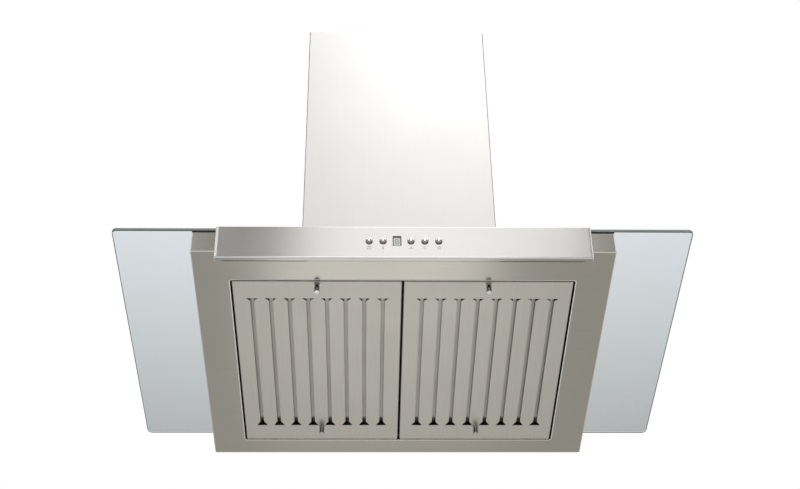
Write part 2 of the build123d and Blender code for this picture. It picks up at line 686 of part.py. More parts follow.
def blower_box():
    """Box with open ends, flanges turned in at its foot and its top, and the wall bolt holes."""
    half = BOX_W / 2
    box = block((-half, half), (-BOX_D, 0), (DECK_TOP, LID_Z))
    folds = box.edges().filter_by(Axis.Z)
    box = fillet(folds, BEND_R)
    inner = half - BOX_SHEET
    mouth = half - BOX_FLANGE
    tall = (DECK_TOP + BOX_SHEET, LID_Z - BOX_SHEET)
    box -= block((-inner, inner), (-BOX_D + BOX_SHEET, -BOX_SHEET), tall)
    box -= block((-mouth, mouth), (-BOX_D + BOX_FLANGE, -BOX_FLANGE), (DECK_TOP, LID_Z))
    for seat in lid_screw_seats():
        box -= screw_hole(seat, LID_SCREW_L)
    clip_holes = group(screw_hole(seat, GLASS_CLIP_SCREW_L) for seat in glass_clip_seats())
    box -= both_sides(clip_holes)
    x = BOLT_SPACING_X / 2
    z = BOLT_SPACING_Z / 2
    bolts = [(i * x, j * z) for i in (-1, 1) for j in (-1, 1)]
    return box - [rod(BOLT_R, (x, -BOX_SHEET, z), (x, 0, z)) for x, z in bolts]


def box_lid():
    """Flat lid of the blower box with the outlet hole."""
    half = BOX_W / 2
    lid = block((-half, half), (-BOX_D, 0), (LID_Z, LID_TOP))
    lid = fillet(lid.edges().filter_by(Axis.Z), BEND_R)
    lid -= rod(COLLAR_R - COLLAR_WALL, (0, OUTLET_Y, LID_Z), (0, OUTLET_Y, LID_TOP))
    for seat in lid_screw_seats():
        lid -= screw_hole(seat, LID_SCREW_L)
    return lid


def lid_screws():
    """Screws through the lid into the box's top flange."""
    return group(screw(seat, LID_SCREW_L) for seat in lid_screw_seats())


def scroll_outline():
    """Inside of the scroll: three quarter arcs of growing radius, then straight up to the outlet."""
    top = LID_Z - FAN_Z
    r = SCROLL_R
    step = SCROLL_STEP
    wall = Polyline((-TONGUE_X, top), (-TONGUE_X, r), (0, r))
    wall += CenterArc((0, 0), r, 90, -90)
    wall += CenterArc((-step, 0), r + step, 0, -90)
    wall += CenterArc((-step, step), r + 2 * step, 270, -90)
    wall += Polyline((SCROLL_FRONT, step), (SCROLL_FRONT, top), (-TONGUE_X, top))
    face = make_face(wall)
    tongue = face.vertices().sort_by_distance((-TONGUE_X, r))[0]
    return fillet(tongue, TONGUE_R)


def scroll_half():
    """Right half of the moulded scroll, with a lip round its inlet and the outlet open at the top."""
    inside = scroll_outline()
    top = LID_Z - FAN_Z
    outside = offset(inside, SCROLL_WALL) & Rectangle(4 * SCROLL_R, 2 * top)
    half = extrude(FAN * outside, SCROLL_W + SCROLL_WALL)
    half -= extrude(FAN * inside, SCROLL_W)
    plate = FAN.offset(SCROLL_W)
    half += extrude(plate * Circle(INLET_R + INLET_LIP_T), SCROLL_WALL + INLET_LIP)
    return half - extrude(plate * Circle(INLET_R), SCROLL_WALL + INLET_LIP)


def fan_wheel():
    """Double inlet wheel: forward curved blades between two rings, on a middle disc with a hub."""
    root = WHEEL_R - WHEEL_RING
    start = Vector(root, 0)
    end = Vector(WHEEL_R, 0).rotate(Axis.Z, BLADE_SWEEP)
    middle = (start + end) * 0.5 + Vector(BLADE_BOW, 0).rotate(Axis.Z, BLADE_SWEEP - 90)
    blade = extrude(trace(ThreePointArc(start, middle, end), BLADE_T), WHEEL_W / 2, both=True)
    blades = PolarLocations(0, BLADES) * blade
    ring = Circle(WHEEL_R + BLADE_T) - Circle(root - BLADE_T)
    ring = extrude(ring, WHEEL_RING_T)
    ends = [Pos(0, 0, WHEEL_W / 2 - WHEEL_RING_T) * ring, Pos(0, 0, -WHEEL_W / 2) * ring]
    disc = Cylinder(WHEEL_R, DISC_T)
    hub = Pos(0, 0, -HUB_L) * Cylinder(HUB_R, HUB_L, align=(Align.CENTER, Align.CENTER, Align.MIN))
    wheel = disc + hub + ends + list(blades)
    return FAN * (wheel - Cylinder(SHAFT_R + PIN_GAP, 4 * HUB_L))


def motor_front():
    """Shaft end of the motor's boss, along the fan's axis."""
    return -HUB_L - MEET_GAP


def motor_shaft():
    """Shaft from the motor through the hub."""
    start = motor_front() - MOTOR_BOSS_L - SHAFT_GRIP
    return FAN * rod(SHAFT_R, (0, 0, start), (0, 0, DISC_T))


def motor():
    """Round motor in the left inlet, with a boss round the shaft and a mounting flange."""
    face = motor_front() - MOTOR_BOSS_L
    can = rod(MOTOR_R, (0, 0, face - MOTOR_L), (0, 0, face))
    can = fillet(can.edges().filter_by(GeomType.CIRCLE), MOTOR_ROUND)
    can += rod(MOTOR_BOSS_R, (0, 0, face), (0, 0, motor_front()))
    seat = face - MOTOR_FLANGE_X
    can += rod(MOTOR_FLANGE_R, (0, 0, seat), (0, 0, seat + MOTOR_FLANGE_T))
    bore = rod(SHAFT_R + PIN_GAP, (0, 0, face - SHAFT_GRIP - MEET_GAP), (0, 0, motor_front()))
    return FAN * (can - bore)


def arm_seats():
    """Seats of the motor bracket's screws, facing the scroll's left side."""
    back = motor_front() - MOTOR_BOSS_L - MOTOR_FLANGE_X - ARM_T
    turns = [Rot(0, 0, 90 + i * 360 / ARMS) for i in range(ARMS)]
    return [FAN * turn * Pos(ARM_REACH, 0, back) for turn in turns]


def arm_pad():
    """From the back of the bracket's arms to the scroll's left side."""
    back = motor_front() - MOTOR_BOSS_L - MOTOR_FLANGE_X - ARM_T
    return -(SCROLL_W + SCROLL_WALL) - back


def motor_bracket():
    """Ring behind the motor's flange with arms out to pads on the scroll."""
    back = motor_front() - MOTOR_BOSS_L - MOTOR_FLANGE_X - ARM_T
    arm = block((MOTOR_R, ARM_REACH), (-ARM_W / 2, ARM_W / 2), (back, back + ARM_T))
    pad = rod(ARM_W / 2, (ARM_REACH, 0, back), (ARM_REACH, 0, back + arm_pad()))
    arms = [Rot(0, 0, 90 + i * 360 / ARMS) * (arm + pad) for i in range(ARMS)]
    ring = rod(MOTOR_FLANGE_R + ARM_W / 2, (0, 0, back), (0, 0, back + ARM_T))
    bracket = ring + arms - rod(MOTOR_R + MEET_GAP, (0, 0, back), (0, 0, back + ARM_T))
    holes = [screw_hole(seat, arm_pad()) for seat in arm_seats()]
    return FAN * bracket - holes


def motor_screws():
    """Screws through the bracket's pads."""
    return group(screw(seat, arm_pad()) for seat in arm_seats())


def capacitor_axis():
    """Middle of the run capacitor, beside the motor on the inside of the box's front wall."""
    return -CAPACITOR_X, -BOX_D + BOX_SHEET + STRAP_T + CAPACITOR_R


def run_capacitor():
    """Upright round capacitor."""
    x, y = capacitor_axis()
    can = rod(CAPACITOR_R, (x, y, FAN_Z), (x, y, FAN_Z + CAPACITOR_L))
    return fillet(can.edges().filter_by(GeomType.CIRCLE), HEAD_ROUND)


def capacitor_strap():
    """Band round the capacitor with a back plate on the box's front wall."""
    x, y = capacitor_axis()
    low = FAN_Z + (CAPACITOR_L - STRAP_W) / 2
    wall = -BOX_D + BOX_SHEET
    band = rod(CAPACITOR_R + STRAP_T, (x, y, low), (x, y, low + STRAP_W))
    wide = CAPACITOR_R + STRAP_T + STRAP_EAR
    band += block((x - wide, x + wide), (wall, wall + STRAP_T), (low, low + STRAP_W))
    return band - rod(CAPACITOR_R, (x, y, low), (x, y, low + STRAP_W))


def outlet_collar():
    """Round duct collar with a flange on the lid, stops for the damper and holes for its rod."""
    tube = Circle(COLLAR_R) - Circle(COLLAR_R - COLLAR_WALL)
    flange = Circle(COLLAR_R + COLLAR_FLANGE) - Circle(COLLAR_R - COLLAR_WALL)
    collar = extrude(tube, COLLAR_H) + extrude(flange, BOX_SHEET)
    stop_top = DAMPER_RISE - FLAP_T / 2 - MEET_GAP
    reach = COLLAR_R - COLLAR_WALL / 2
    half = STOP_W / 2
    stop = block((-half, half), (reach - STOP_DEPTH, reach), (stop_top - STOP_T, stop_top))
    collar += [stop, mirror(stop, Plane.XZ)]
    collar -= rod(ROD_R + PIN_GAP, (-COLLAR_R, 0, DAMPER_RISE), (COLLAR_R, 0, DAMPER_RISE))
    return Pos(0, OUTLET_Y, LID_TOP) * collar


def damper_rod():
    """Hinge rod across the collar."""
    end = COLLAR_R - COLLAR_WALL / 2
    return rod(ROD_R, (-end, OUTLET_Y, DAMPER_Z), (end, OUTLET_Y, DAMPER_Z))


def damper_flap(shift):
    """Half round flap in front of the rod with two knuckles, moved along the rod by the shift."""
    knuckle_r = ROD_R + PIN_GAP + KNUCKLE_T
    near = knuckle_r + KNUCKLE_GAP
    radius = COLLAR_R - COLLAR_WALL - FLAP_GAP
    plate = Circle(radius) & Pos(0, -near) * Rectangle(2 * radius, radius, align=(Align.CENTER, Align.MAX))
    flap = Pos(0, 0, -FLAP_T / 2) * extrude(plate, FLAP_T)
    for x in (shift - radius / 2, shift + radius / 2):
        span = (x - KNUCKLE_L / 2, x + KNUCKLE_L / 2)
        flap += rod(knuckle_r, (span[0], 0, 0), (span[1], 0, 0))
        flap += block(span, (-near, 0), (-FLAP_T / 2, FLAP_T / 2))
    flap -= rod(ROD_R + PIN_GAP, (-radius, 0, 0), (radius, 0, 0))
    return Pos(0, OUTLET_Y, DAMPER_Z) * flap


def damper_flap_front():
    """Flap on the room side of the rod."""
    return damper_flap(-KNUCKLE_L / 2 - KNUCKLE_GAP)


def damper_flap_rear():
    """The same flap turned round, on the wall side of the rod."""
    about = Plane((0, OUTLET_Y, 0), z_dir=(0, 1, 0))
    return mirror(damper_flap(KNUCKLE_L / 2 + KNUCKLE_GAP), about)


def wiring_limits():
    """Outside of the wiring box, on the lid beside the collar."""
    x = COLLAR_R + COLLAR_FLANGE + WIRING_GAP
    y = OUTLET_Y - WIRING_L / 2
    return (x, x + WIRING_W), (y, y + WIRING_L), (LID_TOP, LID_TOP + WIRING_H)


def bushing_axis():
    """Middle of the cable hole in the wiring box's rear wall."""
    x, y, z = wiring_limits()
    return (x[0] + x[1]) / 2, y[1], (z[0] + z[1] - COVER_LIP) / 2


def wiring_box():
    """Open tray for the supply connection, with a hole for the cable bushing."""
    box = block(*wiring_limits())
    box = offset(box, amount=-SHEET, openings=box.faces().sort_by(Axis.Z)[-1])
    x, y, z = bushing_axis()
    return box - rod(BUSHING_R + MEET_GAP, (x, y - SHEET, z), (x, y, z))


def wiring_cover():
    """Lid with down-turned edges over the wiring box."""
    x, y, z = wiring_limits()
    out = MEET_GAP + SHEET
    cover = block((x[0] - out, x[1] + out), (y[0] - out, y[1] + out), (z[1] - COVER_LIP, z[1] + SHEET))
    well = ((x[0] - MEET_GAP, x[1] + MEET_GAP), (y[0] - MEET_GAP, y[1] + MEET_GAP))
    return cover - block(*well, (z[1] - COVER_LIP, z[1]))


def cable_bushing():
    """Moulded ring in the wall of the wiring box."""
    x, y, z = bushing_axis()
    ring = rod(BUSHING_R, (x, y - SHEET, z), (x, y + BUSHING_L, z))
    ring += rod(BUSHING_R + BUSHING_RIM, (x, y, z), (x, y + BUSHING_RIM, z))
    return ring - rod(BUSHING_R - BUSHING_WALL, (x, y - SHEET, z), (x, y + BUSHING_L, z))


# Chimney

def chimney_cover(inset, low, high):
    """Folded cover, open to the wall, with returns at its back edges, set in by some inset."""
    side = CHIMNEY_W / 2 - inset
    front = -CHIMNEY_D + inset
    inner = side - CHIMNEY_RETURN
    right = [(inner, -inset), (side, -inset), (side, front)]
    left = [(-x, y) for x, y in reversed(right)]
    cover = folded(right + left, high - low, SHEET, BEND_R, Side.RIGHT)
    return Pos(0, 0, low - cover.bounding_box().min.Z) * cover


def foot_height():
    """Middle of the chimney feet."""
    return GLASS_TOP + FOOT_RISE + FOOT_H / 2


def chimney_screw_seat():
    """Seat on the chimney's right side, with the screw pointing in at the foot."""
    return Plane((CHIMNEY_W / 2, -FOOT_Y, foot_height()), z_dir=(-1, 0, 0))


def chimney_lower():
    """Lower cover, standing on the glass round the blower box."""
    cover = chimney_cover(0, CHIMNEY_Z, CHIMNEY_TOP)
    return cover - both_sides(screw_hole(chimney_screw_seat(), CHIMNEY_SCREW_L))


def chimney_feet():
    """Stepped brackets from the sides of the blower box to the chimney."""
    inner = BOX_W / 2
    outer = CHIMNEY_W / 2 - SHEET
    low = foot_height() - FOOT_H / 2
    front = -FOOT_Y - FOOT_W / 2
    rear = -FOOT_Y + FOOT_W / 2
    foot = block((inner, inner + FOOT_SHEET), (front, rear), (low, low + FOOT_H))
    foot += block((inner, outer), (front, front + FOOT_SHEET), (low, low + FOOT_H))
    foot += block((outer - FOOT_SHEET, outer), (front, rear), (low, low + FOOT_H))
    return both_sides(foot - screw_hole(chimney_screw_seat(), CHIMNEY_SCREW_L))


def chimney_screws():
    """Screws through the chimney's sides into its feet."""
    return both_sides(screw(chimney_screw_seat(), CHIMNEY_SCREW_L))


def chimney_upper():
    """Upper cover that slides up out of the lower one."""
    return chimney_cover(SLIDE_INSET, CHIMNEY_Z + EXTENSION_START, CHIMNEY_TOP - EXTENSION_DROP)


def chimney_bracket():
    """Stepped strip on the wall inside the upper cover's top, with two screw holes."""
    side = CHIMNEY_W / 2 - SLIDE_INSET - SHEET - MEET_GAP
    inner = side + SHEET + MEET_GAP - CHIMNEY_RETURN - BRACKET_SHEET
    step = [(inner, 0), (inner, -BRACKET_DEPTH)]
    right = step + [(side, -BRACKET_DEPTH), (side, -BRACKET_DEPTH - BRACKET_TAB)]
    left = [(-x, y) for x, y in reversed(right)]
    strip = folded(left + right, BRACKET_H, BRACKET_SHEET, BEND_R, Side.RIGHT)
    strip = Pos(0, 0, BRACKET_Z - strip.bounding_box().min.Z) * strip
    x = BRACKET_HOLE_SPACING / 2
    z = BRACKET_Z + BRACKET_H / 2
    return strip - [rod(BRACKET_HOLE_R, (i * x, -BRACKET_SHEET, z), (i * x, 0, z)) for i in (-1, 1)]


# Every node by name
NODES = {
    "canopy_pan": canopy_pan(),
    "deck_frame": deck_frame(),
    "canopy_deck": canopy_deck(),
    "rear_filter_rail": rear_filter_rail(),
    "filter_clips": filter_clips(),
    "glass_gasket": glass_gasket(),
    "glass_canopy": glass_canopy(),
    "glass_clips": glass_clips(),
    "glass_clip_screws": glass_clip_screws(),
    "fascia_panel": fascia_panel(),
    "fascia_rail": fascia_rail(),
    "fascia_seal": fascia_seal(),
    "fascia_screws": fascia_screws(),
    "button_frame": button_frame(),
    "display_window": display_window(),
    "display_module": display_module(),
    "control_board": control_board(),
    "tact_switches": tact_switches(),
    "control_box": control_box(),
    "blower_box": blower_box(),
    "box_lid": box_lid(),
    "lid_screws": lid_screws(),
    "scroll_half_right": scroll_half(),
    "scroll_half_left": mirror(scroll_half(), Plane.YZ),
    "motor": motor(),
    "motor_bracket": motor_bracket(),
    "motor_screws": motor_screws(),
    "fan_wheel": fan_wheel(),
    "motor_shaft": motor_shaft(),
    "run_capacitor": run_capacitor(),
    "capacitor_strap": capacitor_strap(),
    "outlet_collar": outlet_collar(),
    "damper_rod": damper_rod(),
    "damper_flap_front": damper_flap_front(),
    "damper_flap_rear": damper_flap_rear(),
    "wiring_box": wiring_box(),
    "wiring_cover": wiring_cover(),
    "cable_bushing": cable_bushing(),
    "chimney_lower": chimney_lower(),
    "chimney_feet": chimney_feet(),
    "chimney_screws": chimney_screws(),
    "chimney_upper": chimney_upper(),
    "chimney_bracket": chimney_bracket(),
}
for number, x in enumerate(BUTTON_X, start=1):
    NODES[f"button_{number}"] = push_button(x)
for side, x in (("left", -FILTER_X), ("right", FILTER_X)):
    NODES[f"filter_{side}_tray"] = Pos(x) * filter_tray()
    NODES[f"filter_{side}_baffles"] = Pos(x) * filter_baffles()
    NODES[f"filter_{side}_knobs"] = Pos(x) * filter_knobs()
    NODES[f"filter_{side}_nuts"] = Pos(x) * knob_nuts()

os.makedirs("parts", exist_ok=True)
for name, shape in NODES.items():
    export_step(shape, f"parts/{name}.step")
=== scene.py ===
"""Looks of a wall mount range hood: its finishes, small detail, studio and camera."""

import logging
import math
from collections.abc import Iterable, Sequence
from dataclasses import dataclass
from enum import Enum

import bmesh
import bpy
from mathutils import Matrix, Vector

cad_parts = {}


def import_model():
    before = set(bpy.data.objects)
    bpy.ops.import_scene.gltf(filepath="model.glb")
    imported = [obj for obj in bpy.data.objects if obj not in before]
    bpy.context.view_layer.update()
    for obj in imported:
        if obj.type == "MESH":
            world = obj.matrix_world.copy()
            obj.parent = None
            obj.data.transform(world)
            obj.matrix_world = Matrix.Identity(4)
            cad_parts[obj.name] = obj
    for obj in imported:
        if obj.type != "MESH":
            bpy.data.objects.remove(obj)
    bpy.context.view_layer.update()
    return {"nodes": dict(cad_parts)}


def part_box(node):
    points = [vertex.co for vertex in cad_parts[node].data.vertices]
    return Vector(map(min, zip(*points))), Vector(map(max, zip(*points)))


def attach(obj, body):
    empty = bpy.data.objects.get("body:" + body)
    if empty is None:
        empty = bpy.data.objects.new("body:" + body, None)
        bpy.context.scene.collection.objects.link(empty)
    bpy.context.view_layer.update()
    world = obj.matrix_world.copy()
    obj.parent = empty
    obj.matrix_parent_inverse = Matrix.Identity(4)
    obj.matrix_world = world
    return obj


LOG = logging.getLogger("range_hood")
MM = 0.001

Colour = tuple[float, float, float]
Point2 = tuple[float, float]
Point3 = tuple[float, float, float]
Span = tuple[float, float]
Stops = tuple[tuple[float, Colour], ...]
Socket = bpy.types.NodeSocket
Mesh = bmesh.types.BMesh

# Values of a noise between which colours and roughness run.
NOISE_MIDDLE: Span = (0.3, 0.7)
# Largest part of a normal along one axis, from a fold to a flat face.
FOLD_SLANT: Span = (0.95, 0.995)
# Upright part of a normal, from a slanting face to a level one.
LEVEL_SLANT: Span = (0.99, 0.999)
# Height of a normal, from a face that looks down to an upright one.
UNDER_SLANT: Span = (-0.62, -0.3)
# Part of a direction along x from which y is taken as its level axis.
SIDEWAYS = 0.9
# Points that are closer than this are one point.
SAME_POINT = 0.001 * MM
# Sockets of the mix node for colours, where names repeat.
MIX_FACTOR = 0
MIX_FIRST = 6
MIX_SECOND = 7
MIX_RESULT = 2


class Grain(Enum):
    """Axis that the brush marks of a sheet run along."""

    X = "X"
    Y = "Y"
    Z = "Z"


class Detail(Enum):
    """Octaves of a noise."""

    BROAD = 2.0
    PLAIN = 3.0
    FINE = 4.0


class Sign(Enum):
    """Signs under the buttons, by the number of the button, which is also a fan's count of blades."""

    POWER = 1
    LAMP = 2
    LOW_FAN = 3
    MEDIUM_FAN = 4
    HIGH_FAN = 5


class Segment(Enum):
    """Bars of a one-digit display: centre in half widths and half heights, and whether upright."""

    TOP = (0.0, 1.0, False)
    MIDDLE = (0.0, 0.0, False)
    BOTTOM = (0.0, -1.0, False)
    LEFT_HIGH = (-1.0, 0.5, True)
    RIGHT_HIGH = (1.0, 0.5, True)
    LEFT_LOW = (-1.0, -0.5, True)
    RIGHT_LOW = (1.0, -0.5, True)


class NodeSheet:
    """Node tree of one finish, with short calls for the nodes that finishes share."""

    def __init__(self, name: str) -> None:
        """Start a material with an empty tree, a shader and an output.

        Args:
            name: Name of the material.
        """
        self.material = bpy.data.materials.new(name)
        self.material.use_nodes = True
        self.tree = self.material.node_tree
        self.tree.nodes.clear()
        self.shader = self.node("ShaderNodeBsdfPrincipled")
        output = self.node("ShaderNodeOutputMaterial")
        self.join(self.shader.outputs["BSDF"], output.inputs["Surface"])

    def node(self, kind: str) -> bpy.types.Node:
        """Add a node of a kind."""
        return self.tree.nodes.new(kind)

    def join(self, source: Socket, target: Socket) -> None:
        """Link an output to an input."""
        self.tree.links.new(source, target)

    def link(self, source: Socket, socket: str) -> None:
        """Link an output to a socket of the shader."""
        self.join(source, self.shader.inputs[socket])

    def set(self, socket: str, value: float) -> None:
        """Set a plain value on the shader's own socket."""
        self.shader.inputs[socket].default_value = value

    def place(self, scale: Sequence[float]) -> Socket:
        """Object coordinates, stretched.

        Args:
            scale: Factor along each axis.

        Returns:
            The stretched vector.
        """
        where = self.node("ShaderNodeTexCoord")
        mapping = self.node("ShaderNodeMapping")
        mapping.inputs["Scale"].default_value = scale
        self.join(where.outputs["Object"], mapping.inputs["Vector"])
        return mapping.outputs["Vector"]

    def noise(self, scale: Sequence[float], detail: Detail = Detail.PLAIN) -> Socket:
        """Noise in object space.

        Args:
            scale: Cells per metre along each axis.
            detail: Octaves of the noise.

        Returns:
            The noise's value, around a half.
        """
        noise = self.node("ShaderNodeTexNoise")
        noise.inputs["Scale"].default_value = 1.0
        noise.inputs["Detail"].default_value = detail.value
        self.join(self.place(scale), noise.inputs["Vector"])
        return noise.outputs["Fac"]

    def calculate(self, operation: str, *values: Socket | float) -> Socket:
        """Work out a number.

        Args:
            operation: Name of the operation.
            values: What it is worked out from, outputs or plain numbers.

        Returns:
            The result.
        """
        node = self.node("ShaderNodeMath")
        node.operation = operation
        for socket, value in zip(node.inputs, values):
            if isinstance(value, float):
                socket.default_value = value
            else:
                self.join(value, socket)
        return node.outputs["Value"]

    def remap(self, source: Socket, span: Span, low: float, high: float) -> Socket:
        """Map a span of values to another.

        Args:
            source: Value to map.
            span: Values that give the low and the high result.
            low: Result at the span's start and before it.
            high: Result at its end and after it.

        Returns:
            The mapped value.
        """
        node = self.node("ShaderNodeMapRange")
        node.inputs["From Min"].default_value = span[0]
        node.inputs["From Max"].default_value = span[1]
        node.inputs["To Min"].default_value = low
        node.inputs["To Max"].default_value = high
        self.join(source, node.inputs["Value"])
        return node.outputs["Result"]

    def spread(self, source: Socket, low: float, high: float) -> Socket:
        """Map the middle of a noise to a range."""
        return self.remap(source, NOISE_MIDDLE, low, high)

    def tones(self, source: Socket, low: Colour, high: Colour) -> Socket:
        """Blend two colours by a value.

        Args:
            source: Value around a half.
            low: Colour for low values.
            high: Colour for high values.

        Returns:
            The blended colour.
        """
        ramp = self.node("ShaderNodeValToRGB")
        for mark, place, colour in zip(ramp.color_ramp.elements, NOISE_MIDDLE, (low, high)):
            mark.position = place
            mark.color = (*colour, 1.0)
        self.join(source, ramp.inputs["Fac"])
        return ramp.outputs["Color"]

    def painted_light(self, source: Socket, fold: float, level: float, under: float = 1.0) -> Socket:
        """Paint light and shade into a colour by the way the surface faces: painted highlights and shade
        on folds, painted light and shade on level faces, and painted shade on faces that look down.

        Args:
            source: Colour of the upright faces.
            fold: Factor for the folds, a painted highlight above one and a painted shade below one.
            level: Factor for the level faces, painted light above one and painted shade below one.
            under: Factor for the faces that look down, a painted shade.

        Returns:
            The colour with the painted light and shade.
        """
        shape = self.node("ShaderNodeNewGeometry")
        signed = self.node("ShaderNodeSeparateXYZ")
        self.join(shape.outputs["True Normal"], signed.inputs["Vector"])
        size = self.node("ShaderNodeVectorMath")
        size.operation = "ABSOLUTE"
        self.join(shape.outputs["True Normal"], size.inputs[0])
        parts = self.node("ShaderNodeSeparateXYZ")
        self.join(size.outputs["Vector"], parts.inputs["Vector"])
        across = self.calculate("MAXIMUM", parts.outputs["X"], parts.outputs["Y"])
        most = self.calculate("MAXIMUM", across, parts.outputs["Z"])
        colour = source
        # Painted light and shade, by the facing of the true normal: folds, level faces, faces that look
        # down.
        for value, span, low, high in (
            (most, FOLD_SLANT, fold, 1.0),
            (parts.outputs["Z"], LEVEL_SLANT, 1.0, level),
            (signed.outputs["Z"], UNDER_SLANT, under, 1.0),
        ):
            if low == high:
                continue
            scale = self.node("ShaderNodeVectorMath")
            scale.operation = "SCALE"
            self.join(colour, scale.inputs[0])
            self.join(self.remap(value, span, low, high), scale.inputs["Scale"])
            colour = scale.outputs["Vector"]
        return colour

    def bump(self, source: Socket, depth: float, relief: float) -> None:
        """Raise the surface by a value.

        Args:
            source: Height, from nought to one.
            depth: Height of one, in metres.
            relief: Share of the bump that shows.
        """
        node = self.node("ShaderNodeBump")
        node.inputs["Distance"].default_value = depth
        node.inputs["Strength"].default_value = relief
        self.join(source, node.inputs["Height"])
        self.link(node.outputs["Normal"], "Normal")


def shade(colour: Colour, factor: float) -> Colour:
    """A colour made lighter or darker, and kept within one."""
    return tuple(min(1.0, part * factor) for part in colour)


@dataclass(frozen=True)
class Finish:
    """Surface that nodes and pieces are dressed with."""

    name: str
    colour: Colour

    def material(self) -> bpy.types.Material:
        """Build the finish.

        Returns:
            The finish as a material.
        """
        sheet = NodeSheet(self.name)
        self.lay(sheet)
        return sheet.material

    def lay(self, sheet: NodeSheet) -> None:
        """Fill the node tree, which each finish does in its own way."""
        raise NotImplementedError


@dataclass(frozen=True)
class BrushedSteel(Finish):
    """Stainless sheet with brush marks along one axis and faint smears."""

    roughness: float
    grain: Grain
    contrast: float = 0.07
    anisotropy: float = 0.6
    marks: float = 2600.0
    stretch: float = 9.0
    smear: float = 0.1
    smear_cells: float = 11.0
    depth: float = 0.04 * MM
    relief: float = 0.22
    # Colour factors that paint light and shade: on folds, and on level faces.
    fold: float = 1.0
    level: float = 1.0
    metal: float = 1.0

    def lay(self, sheet: NodeSheet) -> None:
        """Lay the brush marks, the painted light and shade on folds and level faces, and the smears.

        Args:
            sheet: Node tree of the finish.
        """
        scale = [self.stretch if axis is self.grain else self.marks for axis in Grain]
        marks = sheet.noise(scale, Detail.FINE)
        low, high = shade(self.colour, 1 - self.contrast), shade(self.colour, 1 + self.contrast)
        # Base colour with painted highlights and shade on folds and level faces.
        sheet.link(sheet.painted_light(sheet.tones(marks, low, high), self.fold, self.level), "Base Color")
        smears = sheet.noise((self.smear_cells,) * 3, Detail.BROAD)
        smooth, dull = self.roughness * (1 - self.smear), self.roughness * (1 + self.smear)
        sheet.link(sheet.spread(smears, smooth, dull), "Roughness")
        sheet.bump(marks, self.depth, self.relief)
        tangent = sheet.node("ShaderNodeTangent")
        tangent.direction_type = "RADIAL"
        tangent.axis = self.grain.value
        sheet.link(tangent.outputs["Tangent"], "Tangent")
        sheet.set("Metallic", self.metal)
        sheet.set("Anisotropic", self.anisotropy)


@dataclass(frozen=True)
class ZincSheet(Finish):
    """Galvanised sheet with the spangle of its zinc."""

    spangle: float = 160.0
    flake_tones: Span = (0.92, 1.06)
    roughness: Span = (0.37, 0.47)
    grain: float = 900.0
    depth: float = 0.03 * MM
    relief: float = 0.2

    def lay(self, sheet: NodeSheet) -> None:
        """Lay the spangle and the grain over it.

        Args:
            sheet: Node tree of the finish.
        """
        cells = sheet.node("ShaderNodeTexVoronoi")
        cells.inputs["Scale"].default_value = 1.0
        sheet.join(sheet.place((self.spangle,) * 3), cells.inputs["Vector"])
        grey = sheet.node("ShaderNodeSeparateColor")
        sheet.join(cells.outputs["Color"], grey.inputs["Color"])
        flakes = grey.outputs["Red"]
        low, high = (shade(self.colour, factor) for factor in self.flake_tones)
        sheet.link(sheet.tones(flakes, low, high), "Base Color")
        sheet.link(sheet.spread(flakes, *self.roughness), "Roughness")
        sheet.bump(sheet.noise((self.grain,) * 3), self.depth, self.relief)
        sheet.set("Metallic", 1.0)


@dataclass(frozen=True)
class PlatedMetal(Finish):
    """Smooth plated or turned metal with fine polishing marks."""

    roughness: float
    # Colour factors that paint light on level faces and shade on faces that look down.
    level: float = 1.0
    under: float = 1.0
    marks: float = 1500.0
    mark_tones: Span = (0.95, 1.04)
    mark_gloss: Span = (0.8, 1.25)
    depth: float = 0.01 * MM
    relief: float = 0.12

    def lay(self, sheet: NodeSheet) -> None:
        """Lay the polishing marks, and the painted light on level faces and painted shade on faces that
        look down.

        Args:
            sheet: Node tree of the finish.
        """
        marks = sheet.noise((self.marks,) * 3)
        low, high = (shade(self.colour, factor) for factor in self.mark_tones)
        colour = sheet.tones(marks, low, high)
        # Base colour with painted light on level faces and painted shade on faces that look down.
        sheet.link(sheet.painted_light(colour, 1.0, self.level, self.under), "Base Color")
        smooth, dull = (self.roughness * factor for factor in self.mark_gloss)
        sheet.link(sheet.spread(marks, smooth, dull), "Roughness")
        sheet.bump(marks, self.depth, self.relief)
        sheet.set("Metallic", 1.0)


@dataclass(frozen=True)
class Moulding(Finish):
    """Plastic, rubber, paint or ink with a fine surface grain."""

    roughness: float
    grain: float = 2200.0
    depth: float = 0.04 * MM
    relief: float = 0.3
    variation: float = 0.08
    cloud: float = 35.0
    pit_gloss: Span = (0.88, 1.12)

    def lay(self, sheet: NodeSheet) -> None:
        """Lay the clouds of the colour and the pits of the surface.

        Args:
            sheet: Node tree of the finish.
        """
        pits = sheet.noise((self.grain,) * 3, Detail.FINE)
        cloud = sheet.noise((self.cloud,) * 3, Detail.BROAD)
        dark, light = shade(self.colour, 1 - self.variation), shade(self.colour, 1 + self.variation)
        sheet.link(sheet.tones(cloud, dark, light), "Base Color")
        smooth, dull = (min(1.0, self.roughness * factor) for factor in self.pit_gloss)
        sheet.link(sheet.spread(pits, smooth, dull), "Roughness")
        sheet.bump(pits, self.depth, self.relief)


